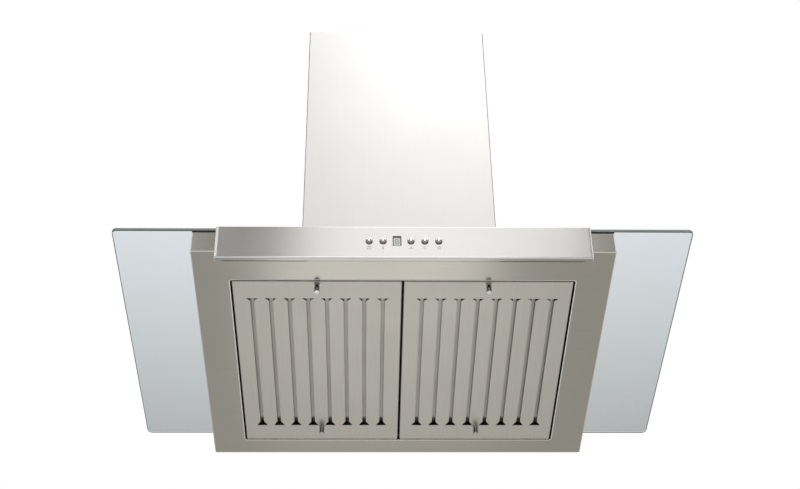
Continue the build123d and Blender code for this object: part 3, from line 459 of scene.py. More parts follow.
@dataclass(frozen=True)
class TemperedGlass(Finish):
    """Clear glass with a greener ground edge and a faint film on its faces."""

    edge: Colour
    edge_slant: Span = (0.4, 0.6)
    edge_roughness: float = 0.7
    film: Span = (0.012, 0.04)
    film_cells: Point3 = (6.0, 4.0, 6.0)
    bending: float = 1.5

    def lay(self, sheet: NodeSheet) -> None:
        """Lay the tint of the edge and the film.

        Args:
            sheet: Node tree of the finish.
        """
        shape = sheet.node("ShaderNodeNewGeometry")
        parts = sheet.node("ShaderNodeSeparateXYZ")
        sheet.join(shape.outputs["Normal"], parts.inputs["Vector"])
        level = sheet.calculate("ABSOLUTE", parts.outputs["Z"])
        sheet.link(sheet.tones(level, self.edge, self.colour), "Base Color")
        film = sheet.spread(sheet.noise(self.film_cells, Detail.BROAD), *self.film)
        ground = sheet.remap(level, self.edge_slant, self.edge_roughness, 1.0)
        sheet.join(film, ground.node.inputs["To Max"])
        sheet.link(ground, "Roughness")
        sheet.set("Transmission Weight", 1.0)
        sheet.set("IOR", self.bending)


@dataclass(frozen=True)
class FloorPaint(Finish):
    """Pale matt floor with a hardly visible mottle, clear from below."""

    roughness: float = 0.85
    mottle: float = 3.0
    mottle_tones: Span = (0.985, 1.015)

    def lay(self, sheet: NodeSheet) -> None:
        """Lay the mottle, and clear the underside.

        Args:
            sheet: Node tree of the finish.
        """
        low, high = (shade(self.colour, factor) for factor in self.mottle_tones)
        sheet.link(sheet.tones(sheet.noise((self.mottle,) * 3), low, high), "Base Color")
        side = sheet.node("ShaderNodeNewGeometry")
        sheet.link(sheet.calculate("SUBTRACT", 1.0, side.outputs["Backfacing"]), "Alpha")
        sheet.set("Roughness", self.roughness)


# Fascia: painted highlight on the folds, painted shade on the level bottom flange.
FASCIA_STEEL = BrushedSteel(
    "fascia_steel", (0.64, 0.635, 0.625), 0.17, Grain.X,
    contrast=0.05, anisotropy=0.3, smear=0.04, fold=1.32, level=0.67,
)
# Pan and deck: painted highlight on the folds, painted light on the level underside.
BODY_STEEL = BrushedSteel(
    "body_steel", (0.395, 0.382, 0.348), 0.21, Grain.X,
    anisotropy=0.3, smear=0.04, fold=2.25, level=1.13,
)
# Filter trays: painted highlight on the folds and painted light on the level faces, twice the upright
# faces' colour.
FILTER_STEEL = BrushedSteel(
    "filter_steel", (0.25, 0.243, 0.223), 0.38, Grain.Y,
    smear=0.04, fold=1.7, level=2.24,
)
# Baffles: painted highlight on the folds and painted light on the level faces inside the channels.
BAFFLE_STEEL = BrushedSteel(
    "baffle_steel", (0.25, 0.243, 0.223), 0.38, Grain.Y,
    smear=0.06, fold=1.4, level=2.15, metal=0.85,
)
# Chimney: painted shade on the folds, darker edge lines.
CHIMNEY_STEEL = BrushedSteel(
    "chimney_steel", (0.715, 0.71, 0.70), 0.3, Grain.Z,
    contrast=0.018, smear=0.03, depth=0.02 * MM, fold=0.4,
)
# Hem: the same stainless as the pan in a far lighter colour, a painted highlight along the rim.
HEM_HIGHLIGHT_STEEL = BrushedSteel("hem_highlight_steel", (0.86, 0.84, 0.79), 0.3, Grain.X, contrast=0.04, anisotropy=0.2)
# Ends of the fascia: lighter than the fascia's steel, a painted highlight.
END_HIGHLIGHT_STEEL = BrushedSteel("end_highlight_steel", (0.74, 0.735, 0.725), 0.17, Grain.Z, contrast=0.04, anisotropy=0.2)
DAMPER_SHEET = BrushedSteel("damper_aluminium", (0.72, 0.73, 0.74), 0.35, Grain.X)
SPRING_STEEL = PlatedMetal("spring_steel", (0.55, 0.55, 0.54), 0.25)
SCREW_STEEL = PlatedMetal("screw_steel", (0.52, 0.52, 0.51), 0.28)
# Buttons: painted shade on the faces that look down, standing in for a dark reflection.
BUTTON_CHROME = PlatedMetal("button_chrome", (0.86, 0.86, 0.86), 0.06, under=0.36)
# Knobs: painted light on the level end.
KNOB_STEEL = PlatedMetal("knob_steel", (0.36, 0.355, 0.34), 0.16, level=1.5)
ZINC = ZincSheet("zinc_sheet", (0.58, 0.6, 0.62))
GLASS = TemperedGlass("canopy_glass", (0.93, 0.955, 0.955), (0.9, 0.96, 0.95))
GROUND_EDGE = Moulding("ground_edge", (0.3, 0.33, 0.33), 0.5, grain=1200.0)
RUBBER = Moulding("gasket_rubber", (0.018, 0.018, 0.019), 0.75, grain=900.0)
BLACK_PLASTIC = Moulding("black_plastic", (0.03, 0.03, 0.031), 0.5)
GREY_PLASTIC = Moulding("scroll_plastic", (0.25, 0.26, 0.27), 0.55)
WHITE_PLASTIC = Moulding("capacitor_can", (0.8, 0.8, 0.77), 0.32)
LENS = Moulding("display_lens", (0.14, 0.145, 0.145), 0.12, grain=400.0, depth=0.01 * MM)
LCD_PANEL = Moulding("lcd_panel", (0.85, 0.87, 0.85), 0.25, grain=3000.0, depth=0.01 * MM)
LCD_INK = Moulding("lcd_ink", (0.22, 0.225, 0.225), 0.4, grain=3000.0, depth=0.01 * MM)
PRINT_INK = Moulding("print_ink", (0.13, 0.13, 0.13), 0.5, grain=3000.0, depth=0.01 * MM)
RECESS_SHADE = Moulding("recess_shade", (0.04, 0.04, 0.04), 0.6)
DISPLAY_BODY = Moulding("display_body", (0.2, 0.21, 0.2), 0.5)
BOARD = Moulding("board_mask", (0.05, 0.2, 0.09), 0.35, grain=600.0)
MOTOR_PAINT = Moulding("motor_paint", (0.12, 0.12, 0.13), 0.4, grain=700.0, depth=0.1 * MM)
RAIL_PAINT = Moulding("rail_paint", (0.03, 0.03, 0.031), 0.45, grain=700.0, depth=0.1 * MM)
FLOOR = FloorPaint("floor_paint", (0.84, 0.815, 0.77))


class Wardrobe:
    """Keeps each finish's material, so that it is built once."""

    def __init__(self, nodes: dict[str, bpy.types.Object]) -> None:
        """Keep the frame's nodes.

        Args:
            nodes: Objects of the frame by name.
        """
        self.nodes = nodes
        self.made: dict[str, bpy.types.Material] = {}

    def material(self, finish: Finish) -> bpy.types.Material:
        """The material of a finish, built at its first use.

        Args:
            finish: The finish.

        Returns:
            Its material.
        """
        if finish.name not in self.made:
            self.made[finish.name] = finish.material()
        return self.made[finish.name]

    def dress(self, finish: Finish, *names: str) -> None:
        """Give nodes of the frame a finish.

        Args:
            finish: The finish.
            names: Names of the nodes.
        """
        for name in names:
            for slot in self.nodes[name].material_slots:
                slot.material = self.material(finish)
            LOG.info("%s: %s", name, finish.name)

    def add(self, name: str, mesh: Mesh, finish: Finish, body: str, slot: str) -> None:
        """Put a new piece into the scene.

        Args:
            name: Name of the piece.
            mesh: Its mesh, in the frame's place, in metres.
            finish: Its finish.
            body: Body that it rides on.
            slot: Material slot of the record; not used.
        """
        data = bpy.data.meshes.new(name)
        bmesh.ops.recalc_face_normals(mesh, faces=mesh.faces)
        mesh.to_mesh(data)
        mesh.free()
        data.materials.append(self.material(finish))
        piece = bpy.data.objects.new(name, data)
        bpy.context.scene.collection.objects.link(piece)
        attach(piece, body)
        LOG.info("%s: %s on %s", name, finish.name, body)


def plate(mesh: Mesh, outline: Iterable[Point2], thick: float, place: Matrix) -> None:
    """Add a flat plate to a mesh.

    Args:
        mesh: Mesh that takes the plate.
        outline: Corners in the plate's plane, in order.
        thick: Thickness along the plate's own z.
        place: Where the plate's own axes are.
    """
    points = list(outline)
    low = [mesh.verts.new(place @ Vector((x, y, 0.0))) for x, y in points]
    high = [mesh.verts.new(place @ Vector((x, y, thick))) for x, y in points]
    mesh.faces.new(low[::-1])
    mesh.faces.new(high)
    for k, corner in enumerate(low):
        after = (k + 1) % len(low)
        mesh.faces.new((corner, low[after], high[after], high[k]))


def ring(mesh: Mesh, radius: float, width: float, thick: float, place: Matrix, steps: int = 24) -> None:
    """Add a flat ring to a mesh.

    Args:
        mesh: Mesh that takes the ring.
        radius: Radius of the ring's outer edge.
        width: Width of its line.
        thick: Thickness along the ring's own z.
        place: Where the ring's own axes are.
        steps: Pieces round the ring.
    """
    turn = 2 * math.pi / steps
    inside = radius - width
    for k in range(steps):
        spokes = [(math.cos(a * turn), math.sin(a * turn)) for a in (k, k + 1)]
        outer = [(radius * c, radius * s) for c, s in spokes]
        inner = [(inside * c, inside * s) for c, s in spokes]
        plate(mesh, (outer[0], outer[1], inner[1], inner[0]), thick, place)


def rounded(low: Point2, high: Point2, radius: float, steps: int = 8) -> list[Point2]:
    """Outline of a rectangle with round corners.

    Args:
        low: Lowest corner.
        high: Highest corner.
        radius: Radius of the corners.
        steps: Pieces of each corner.

    Returns:
        Points in order, starting at the lower end of the left side.
    """
    quarter = math.pi / 2
    middles = (
        (low[0] + radius, low[1] + radius, 2 * quarter),
        (high[0] - radius, low[1] + radius, 3 * quarter),
        (high[0] - radius, high[1] - radius, 0.0),
        (low[0] + radius, high[1] - radius, quarter),
    )
    points = []
    for x, y, start in middles:
        for k in range(steps + 1):
            angle = start + quarter * k / steps
            points.append((x + radius * math.cos(angle), y + radius * math.sin(angle)))
    return points


def band(mesh: Mesh, rows: Sequence[Sequence[Point2]], heights: Sequence[float]) -> None:
    """Add a closed band to a mesh, through outlines that close on themselves.

    Args:
        mesh: Mesh that takes the band.
        rows: Outlines with equal counts of points, in order round the band's section.
        heights: Height of each outline.
    """
    loops = [[mesh.verts.new((x, y, z)) for x, y in row] for row, z in zip(rows, heights)]
    count = len(rows[0])
    for k, loop in enumerate(loops):
        after = loops[(k + 1) % len(loops)]
        for i in range(count):
            j = (i + 1) % count
            mesh.faces.new((loop[i], loop[j], after[j], after[i]))


def bar(centre: Point2, size: Point2) -> list[Point2]:
    """Corners of a rectangle about a centre."""
    (x, y), (w, h) = centre, (size[0] / 2, size[1] / 2)
    return [(x - w, y - h), (x + w, y - h), (x + w, y + h), (x - w, y + h)]


def cross(span: float, width: float) -> list[Point2]:
    """Corners of an upright cross.

    Args:
        span: Length of its arms, from tip to tip.
        width: Width of its arms.

    Returns:
        Points in order, starting at the tip on the right.
    """
    a, b = span / 2, width / 2
    right = [(a, -b), (a, b), (b, b), (b, a), (-b, a), (-b, b)]
    left = [(-x, -y) for x, y in right]
    return right + left


def islands(node: bpy.types.Object) -> list[tuple[Vector, Vector]]:
    """Boxes of the separate solids in a node.

    Args:
        node: Object of the frame.

    Returns:
        Lowest and highest corner of each solid.
    """
    mesh = bmesh.new()
    mesh.from_mesh(node.data)
    bmesh.ops.remove_doubles(mesh, verts=mesh.verts, dist=SAME_POINT)
    boxes = []
    seen = set()
    for start in mesh.verts:
        if start in seen:
            continue
        seen.add(start)
        queue = [start]
        for vert in queue:
            for edge in vert.link_edges:
                other = edge.other_vert(vert)
                if other not in seen:
                    seen.add(other)
                    queue.append(other)
        low = Vector([min(v.co[k] for v in queue) for k in range(3)])
        high = Vector([max(v.co[k] for v in queue) for k in range(3)])
        boxes.append((low, high))
    mesh.free()
    return boxes


def facing(point: Sequence[float], normal: Sequence[float]) -> Matrix:
    """Axes at a point, with z along a normal and x level.

    Args:
        point: Origin, in metres.
        normal: Direction of the new z axis.

    Returns:
        The place as a matrix.
    """
    z = Vector(normal).normalized()
    x = Vector((1.0, 0.0, 0.0)) if abs(z.x) < SIDEWAYS else Vector((0.0, 1.0, 0.0))
    y = z.cross(x).normalized()
    x = y.cross(z)
    return Matrix.Translation(Vector(point)) @ Matrix((x, y, z)).transposed().to_4x4()


class SubAssembly:
    """Group of nodes that are dressed together and may get detail of their own."""

    def dress(self, wardrobe: Wardrobe) -> None:
        """Give the nodes their finishes, which each group does in its own way."""
        raise NotImplementedError

    def build(self, wardrobe: Wardrobe) -> None:
        """Add the detail, where there is any."""


@dataclass(frozen=True)
class PaintedScrewRecess:
    """Cross recess in the top of a screw's head, laid as a flat dark cross of painted shade."""

    span: float = 3.6 * MM
    width: float = 0.8 * MM
    thick: float = 0.03 * MM

    def build(self, wardrobe: Wardrobe, node: str, body: str, normal: Point3) -> None:
        """Lay a dark cross of painted recess shade on each screw of a node.

        Args:
            wardrobe: Keeper of the finishes.
            node: Node with the screws.
            body: Body that the screws are on.
            normal: Direction that the heads face, on the hood's right where the sides are mirrored.
        """
        mesh = bmesh.new()
        for low, high in islands(wardrobe.nodes[node]):
            middle = (low + high) / 2
            way = Vector((math.copysign(normal[0], middle.x) if normal[0] else 0.0, *normal[1:]))
            reach = Vector([abs(part) for part in way]).dot(high - low) / 2
            plate(mesh, cross(self.span, self.width), self.thick, facing(middle + way * reach, way))
        # Flat dark crosses: painted shade of the recesses.
        wardrobe.add(f"{node}_recess", mesh, RECESS_SHADE, body, "screw_steel")


@dataclass
class Canopy(SubAssembly):
    """Pan, deck and glass, with the glass's ground edge and the rolled hem round the filters, which
    carries a painted highlight.
    """

    glass_corner: float = 8.0 * MM
    glass_arris: float = 0.8 * MM
    film: float = 0.04 * MM
    open_half: float = 270.0 * MM
    open_front: float = 68.5 * MM
    open_back: float = 41.0 * MM
    open_corner: float = 4.0 * MM
    hem_width: float = 1.8 * MM
    hem_height: float = 0.5 * MM
    hem_steps: int = 6

    def dress(self, wardrobe: Wardrobe) -> None:
        """Give the canopy's nodes their finishes.

        Args:
            wardrobe: Keeper of the finishes.
        """
        wardrobe.dress(BODY_STEEL, "canopy_pan", "deck_frame", "canopy_deck", "rear_filter_rail")
        wardrobe.dress(SPRING_STEEL, "filter_clips")
        wardrobe.dress(RUBBER, "glass_gasket", "fascia_seal")
        wardrobe.dress(GLASS, "glass_canopy")
        wardrobe.dress(ZINC, "glass_clips")
        wardrobe.dress(SCREW_STEEL, "glass_clip_screws")

    def build(self, wardrobe: Wardrobe) -> None:
        """Build the ground edge and the hem."""
        self.build_edge(wardrobe)
        self.build_hem(wardrobe)

    def build_edge(self, wardrobe: Wardrobe) -> None:
        """Lay the ground finish on the edge of the glass, between its arrises.

        Args:
            wardrobe: Keeper of the finishes.
        """
        low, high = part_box("glass_canopy")
        rows = []
        for grow in (0.0, self.film):
            first, last = (low.x - grow, low.y - grow), (high.x + grow, high.y + grow)
            rows.append(rounded(first, last, self.glass_corner + grow))
        bottom, top = low.z + self.glass_arris, high.z - self.glass_arris
        mesh = bmesh.new()
        band(mesh, (rows[0], rows[1], rows[1], rows[0]), (bottom, bottom, top, top))
        wardrobe.add("glass_ground_edge", mesh, GROUND_EDGE, "hood", "clear_glass")

    def build_hem(self, wardrobe: Wardrobe) -> None:
        """Roll the edge of the filter opening, on the pan's underside, in lighter steel that paints the
        rim's highlight.

        Args:
            wardrobe: Keeper of the finishes.
        """
        low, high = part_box("canopy_pan")
        first = (-self.open_half, low.y + self.open_front)
        last = (self.open_half, high.y - self.open_back)
        rows = []
        heights = []
        for k in range(self.hem_steps + 1):
            angle = math.pi * k / self.hem_steps
            grow = self.hem_width * (1 - math.cos(angle)) / 2
            outer = (first[0] - grow, first[1] - grow), (last[0] + grow, last[1] + grow)
            rows.append(rounded(*outer, self.open_corner + grow))
            heights.append(low.z - self.hem_height * math.sin(angle))
        mesh = bmesh.new()
        band(mesh, rows, heights)
        # The hem is a real bead, dressed lighter than the pan as a painted highlight.
        wardrobe.add("opening_hem", mesh, HEM_HIGHLIGHT_STEEL, "hood", "stainless")


@dataclass
class Fascia(SubAssembly):
    """Folded front with its printed signs, its ends in lighter steel as a painted highlight, and black
    strips behind its flange as a painted shadow.
    """

    strip_width: float = 1.5 * MM
    strip_inset: float = 16.0 * MM
    strip_length: float = 126.0 * MM
    strip_recess: float = 0.05 * MM
    strip_thick: float = 0.8 * MM
    end_width: float = 2.6 * MM
    end_rise: float = 0.08 * MM
    end_inset: float = 2.0 * MM
    sign_drop: float = 14.0 * MM
    sign_size: float = 3.3 * MM
    sign_line: float = 0.6 * MM
    sign_thick: float = 0.02 * MM
    fan_blade: Point2 = (2.0 * MM, 0.9 * MM)
    # Shares of a sign's size.
    power_bar_rise: float = 0.6
    lamp_bulb: float = 0.45
    lamp_foot: float = 0.5
    lamp_foot_drop: float = 0.7
    fan_reach: float = 0.5
    fan_reach_step: float = 0.1

    def dress(self, wardrobe: Wardrobe) -> None:
        """Give the fascia's nodes their finishes.

        Args:
            wardrobe: Keeper of the finishes.
        """
        wardrobe.dress(FASCIA_STEEL, "fascia_panel")
        wardrobe.dress(RAIL_PAINT, "fascia_rail")
        wardrobe.dress(SCREW_STEEL, "fascia_screws")

    def build(self, wardrobe: Wardrobe) -> None:
        """Build the signs, the black strips of painted shadow and the ends of painted highlight.

        Args:
            wardrobe: Keeper of the finishes.
        """
        self.build_signs(wardrobe)
        self.build_shadow_strips(wardrobe)
        self.build_end_highlights(wardrobe)

    def build_signs(self, wardrobe: Wardrobe) -> None:
        """Print a sign under each button: on and off, lamp, and a fan for each speed.

        Args:
            wardrobe: Keeper of the finishes.
        """
        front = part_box("fascia_panel")[0].y
        mesh = bmesh.new()
        for sign in Sign:
            low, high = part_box(f"button_{sign.value}")
            middle = (low + high) / 2
            place = facing((middle.x, front, middle.z - self.sign_drop), (0.0, -1.0, 0.0))
            self.draw(mesh, sign, place)
        wardrobe.add("button_signs", mesh, PRINT_INK, "hood", "grey_plastic")

    def draw(self, mesh: Mesh, sign: Sign, place: Matrix) -> None:
        """Draw one sign.

        Args:
            mesh: Mesh of all the signs.
            sign: The sign.
            place: Where the sign's own axes are.
        """
        size, line, thick = self.sign_size, self.sign_line, self.sign_thick
        if sign is Sign.POWER:
            ring(mesh, size, line, thick, place)
            plate(mesh, bar((0.0, size * self.power_bar_rise), (line, size)), thick, place)
        elif sign is Sign.LAMP:
            ring(mesh, size * self.lamp_bulb, line, thick, place)
            foot = bar((0.0, -size * self.lamp_foot_drop), (size * self.lamp_foot, line))
            plate(mesh, foot, thick, place)
        else:
            blades = sign.value
            reach = size * (self.fan_reach + self.fan_reach_step * blades)
            blade = bar((reach - self.fan_blade[0] / 2, 0.0), self.fan_blade)
            for k in range(blades):
                turn = Matrix.Rotation(2 * math.pi * k / blades + math.pi / 2, 4, "Z")
                plate(mesh, blade, thick, place @ turn)

    def build_shadow_strips(self, wardrobe: Wardrobe) -> None:
        """Fill both ends of the gap behind the bottom flange with black strips, a painted shadow line.

        Args:
            wardrobe: Keeper of the finishes.
        """
        low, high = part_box("fascia_panel")
        size = (self.strip_length, self.strip_width)
        reach = (high.x - low.x - self.strip_length) / 2 - self.strip_inset
        place = Matrix.Translation((0.0, 0.0, low.z + self.strip_recess))
        mesh = bmesh.new()
        for x in (-reach, reach):
            middle = (x, high.y - self.strip_width / 2)
            plate(mesh, bar(middle, size), self.strip_thick, place)
        # Black strips in the gap: a painted shadow line.
        wardrobe.add("flange_shadow_strip", mesh, RUBBER, "hood", "black_rubber")

    def build_end_highlights(self, wardrobe: Wardrobe) -> None:
        """Lay a strip of lighter steel on each end of the front, falling away to the outside, as a painted
        highlight on the rounded end.

        Args:
            wardrobe: Keeper of the finishes.
        """
        low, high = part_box("fascia_panel")
        heights = (low.z + self.end_inset, high.z - self.end_inset)
        mesh = bmesh.new()
        for side in (-1.0, 1.0):
            end = side * (high.x - self.end_inset)
            inner = end - side * self.end_width
            section = ((end, low.y), (inner, low.y), (inner, low.y - self.end_rise))
            rows = [[mesh.verts.new((x, y, z)) for x, y in section] for z in heights]
            mesh.faces.new(rows[0])
            mesh.faces.new(rows[1][::-1])
            for k in range(len(section)):
                j = (k + 1) % len(section)
                mesh.faces.new((rows[0][k], rows[0][j], rows[1][j], rows[1][k]))
        # Lighter steel on each end: a painted highlight.
        wardrobe.add("fascia_end_highlights", mesh, END_HIGHLIGHT_STEEL, "hood", "stainless")


@dataclass
class Controls(SubAssembly):
    """Push buttons, the display with its one digit, and the duct of the wires to the blower."""

    panel: Point2 = (10.0 * MM, 15.0 * MM)
    panel_drop: float = 0.9 * MM
    thick: float = 0.05 * MM
    digit: Point2 = (2.1 * MM, 4.4 * MM)
    stroke: float = 0.9 * MM
    duct_half: float = 13.0 * MM
    duct_depth: float = 10.0 * MM
    duct_chamfer: float = 3.0 * MM
    duct_front: float = 526.0 * MM
    duct_back: float = 242.0 * MM
    strap_width: float = 8.0 * MM
    strap_proud: float = 1.2 * MM
    straps: int = 4

    def dress(self, wardrobe: Wardrobe) -> None:
        """Give the controls' nodes their finishes.

        Args:
            wardrobe: Keeper of the finishes.
        """
        wardrobe.dress(BUTTON_CHROME, *(f"button_{sign.value}" for sign in Sign))
        wardrobe.dress(LENS, "display_window")
        wardrobe.dress(DISPLAY_BODY, "display_module")
        wardrobe.dress(BOARD, "control_board")
        wardrobe.dress(BLACK_PLASTIC, "button_frame", "tact_switches", "control_box")

    def build(self, wardrobe: Wardrobe) -> None:
        """Build the display's face and the duct."""
        self.build_display(wardrobe)
        self.build_duct(wardrobe)

    def build_display(self, wardrobe: Wardrobe) -> None:
        """Lay the display's pale panel and its digit on the lens.

        Args:
            wardrobe: Keeper of the finishes.
        """
        low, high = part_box("display_window")
        middle = (low + high) / 2
        place = facing((middle.x, low.y, middle.z - self.panel_drop), (0.0, -1.0, 0.0))
        mesh = bmesh.new()
        plate(mesh, bar((0.0, 0.0), self.panel), self.thick, place)
        wardrobe.add("lcd_panel", mesh, LCD_PANEL, "hood", "display_body")
        mesh = bmesh.new()
        raised = place @ Matrix.Translation((0.0, 0.0, self.thick))
        half_width, half_height = self.digit
        standing = (self.stroke, half_height - self.stroke)
        lying = (2 * half_width - self.stroke, self.stroke)
        for segment in Segment:
            x, y, upright = segment.value
            size = standing if upright else lying
            plate(mesh, bar((x * half_width, y * half_height), size), self.thick, raised)
        wardrobe.add("lcd_digit", mesh, LCD_INK, "hood", "black_plastic")

    def build_duct(self, wardrobe: Wardrobe) -> None:
        """Run the wire duct under the deck, with the straps that hold it.

        Args:
            wardrobe: Keeper of the finishes.
        """
        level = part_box("canopy_deck")[0].z
        mesh = bmesh.new()
        self.run(mesh, -self.duct_front, -self.duct_back, level, 0.0)
        gap = (self.duct_front - self.duct_back) / self.straps
        for k in range(self.straps):
            start = -self.duct_front + gap * (k + 0.5)
            self.run(mesh, start, start + self.strap_width, level, self.strap_proud)
        wardrobe.add("wire_duct", mesh, BLACK_PLASTIC, "hood", "black_plastic")

    def run(self, mesh: Mesh, start: float, end: float, level: float, proud: float) -> None:
        """Add one length of the duct, or a strap round it.

        Args:
            mesh: Mesh that takes the length.
            start: Front end along y.
            end: Rear end along y.
            level: Underside of the deck.
            proud: How far the length stands out from the duct.
        """
        half, depth, cut = self.duct_half + proud, self.duct_depth + proud, self.duct_chamfer
        section = [(-half, 0.0), (half, 0.0), (half, depth - cut), (half - cut, depth)]
        section += [(cut - half, depth), (-half, depth - cut)]
        plate(mesh, section, end - start, facing((0.0, start, level), (0.0, 1.0, 0.0)))


@dataclass
class Filters(SubAssembly):
    """Left and right baffle filter."""

    sides: tuple[str, str] = ("left", "right")

    def dress(self, wardrobe: Wardrobe) -> None:
        """Give the filters' nodes their finishes.

        Args:
            wardrobe: Keeper of the finishes.
        """
        for side in self.sides:
            wardrobe.dress(FILTER_STEEL, f"filter_{side}_tray")
            wardrobe.dress(BAFFLE_STEEL, f"filter_{side}_baffles")
            wardrobe.dress(KNOB_STEEL, f"filter_{side}_knobs")
            wardrobe.dress(SCREW_STEEL, f"filter_{side}_nuts")


@dataclass
class Blower(SubAssembly):
    """Blower box with motor, wheel, damper and wiring."""

    recess: PaintedScrewRecess = PaintedScrewRecess()

    def dress(self, wardrobe: Wardrobe) -> None:
        """Give the blower's nodes their finishes.

        Args:
            wardrobe: Keeper of the finishes.
        """
        wardrobe.dress(ZINC, "blower_box", "box_lid", "motor_bracket", "fan_wheel", "capacitor_strap")
        wardrobe.dress(ZINC, "outlet_collar", "wiring_box", "wiring_cover")
        wardrobe.dress(GREY_PLASTIC, "scroll_half_left", "scroll_half_right")
        wardrobe.dress(MOTOR_PAINT, "motor")
        wardrobe.dress(SCREW_STEEL, "lid_screws", "motor_screws")
        wardrobe.dress(SPRING_STEEL, "motor_shaft", "damper_rod")
        wardrobe.dress(WHITE_PLASTIC, "run_capacitor")
        wardrobe.dress(DAMPER_SHEET, "damper_flap_front", "damper_flap_rear")
        wardrobe.dress(BLACK_PLASTIC, "cable_bushing")

    def build(self, wardrobe: Wardrobe) -> None:
        """Lay the painted shade of the recesses on the lid's screws."""
        self.recess.build(wardrobe, "lid_screws", "hood", (0.0, 0.0, 1.0))


@dataclass
class Chimney(SubAssembly):
    """Lower cover, the cover that slides in it, and their bracket."""

    recess: PaintedScrewRecess = PaintedScrewRecess()

    def dress(self, wardrobe: Wardrobe) -> None:
        """Give the chimney's nodes their finishes.

        Args:
            wardrobe: Keeper of the finishes.
        """
        wardrobe.dress(CHIMNEY_STEEL, "chimney_lower", "chimney_upper")
        wardrobe.dress(ZINC, "chimney_feet", "chimney_bracket")
        wardrobe.dress(SCREW_STEEL, "chimney_screws")

    def build(self, wardrobe: Wardrobe) -> None:
        """Lay the painted shade of the recesses on the screws in the sides."""
        self.recess.build(wardrobe, "chimney_screws", "hood", (1.0, 0.0, 0.0))


@dataclass(frozen=True)
class SoftBox:
    """Rectangular studio light that faces a point."""

    name: str
    place: Point3
    aim: Point3
    size: Point2
    glow: float
    lights_matt: bool = True

    def build(self) -> None:
        """Put the light into the scene, with its watts from the glow of its face."""
        lamp = bpy.data.lights.new(self.name, "AREA")
        lamp.shape = "RECTANGLE"
        lamp.size, lamp.size_y = self.size
        lamp.energy = self.glow * math.pi * self.size[0] * self.size[1]
        light = bpy.data.objects.new(self.name, lamp)
        light.visible_camera = False
        light.visible_transmission = False
        light.visible_diffuse = self.lights_matt
        way = Vector(self.aim) - Vector(self.place)
        turn = way.to_track_quat("-Z", "Y").to_matrix().to_4x4()
        light.matrix_world = Matrix.Translation(self.place) @ turn
        bpy.context.scene.collection.objects.link(light)
        LOG.info("%s: %.1f W", self.name, lamp.energy)


@dataclass
class Camera:
    """Camera at the photograph's place, below and in front of the hood, with angles in degrees."""

    place: Point3 = (-0.0564, -2.3633, -1.7400)
    pitch: float = 41.058
    yaw: float = 1.595
    roll: float = -0.877
    focal_px: float = 1569.2
    width_px: float = 800.0
    sensor: float = 36.0

    def build(self) -> None:
        """Put the camera into the scene and make it the scene's own."""
        pitch, yaw, roll = (math.radians(angle) for angle in (self.pitch, self.yaw, self.roll))
        flat = math.cos(pitch)
        ahead = Vector((math.sin(yaw) * flat, math.cos(yaw) * flat, math.sin(pitch)))
        level = Vector((math.cos(yaw), -math.sin(yaw), 0.0))
        above = level.cross(ahead)
        right = level * math.cos(roll) + above * math.sin(roll)
        up = above * math.cos(roll) - level * math.sin(roll)
        data = bpy.data.cameras.new("photo_camera")
        data.sensor_fit = "HORIZONTAL"
        data.sensor_width = self.sensor
        data.lens = self.focal_px * self.sensor / self.width_px
        camera = bpy.data.objects.new("photo_camera", data)
        turn = Matrix((right, up, -ahead)).transposed().to_4x4()
        camera.matrix_world = Matrix.Translation(self.place) @ turn
        bpy.context.scene.collection.objects.link(camera)
        bpy.context.scene.camera = camera
        LOG.info("camera: %.1f mm", data.lens)


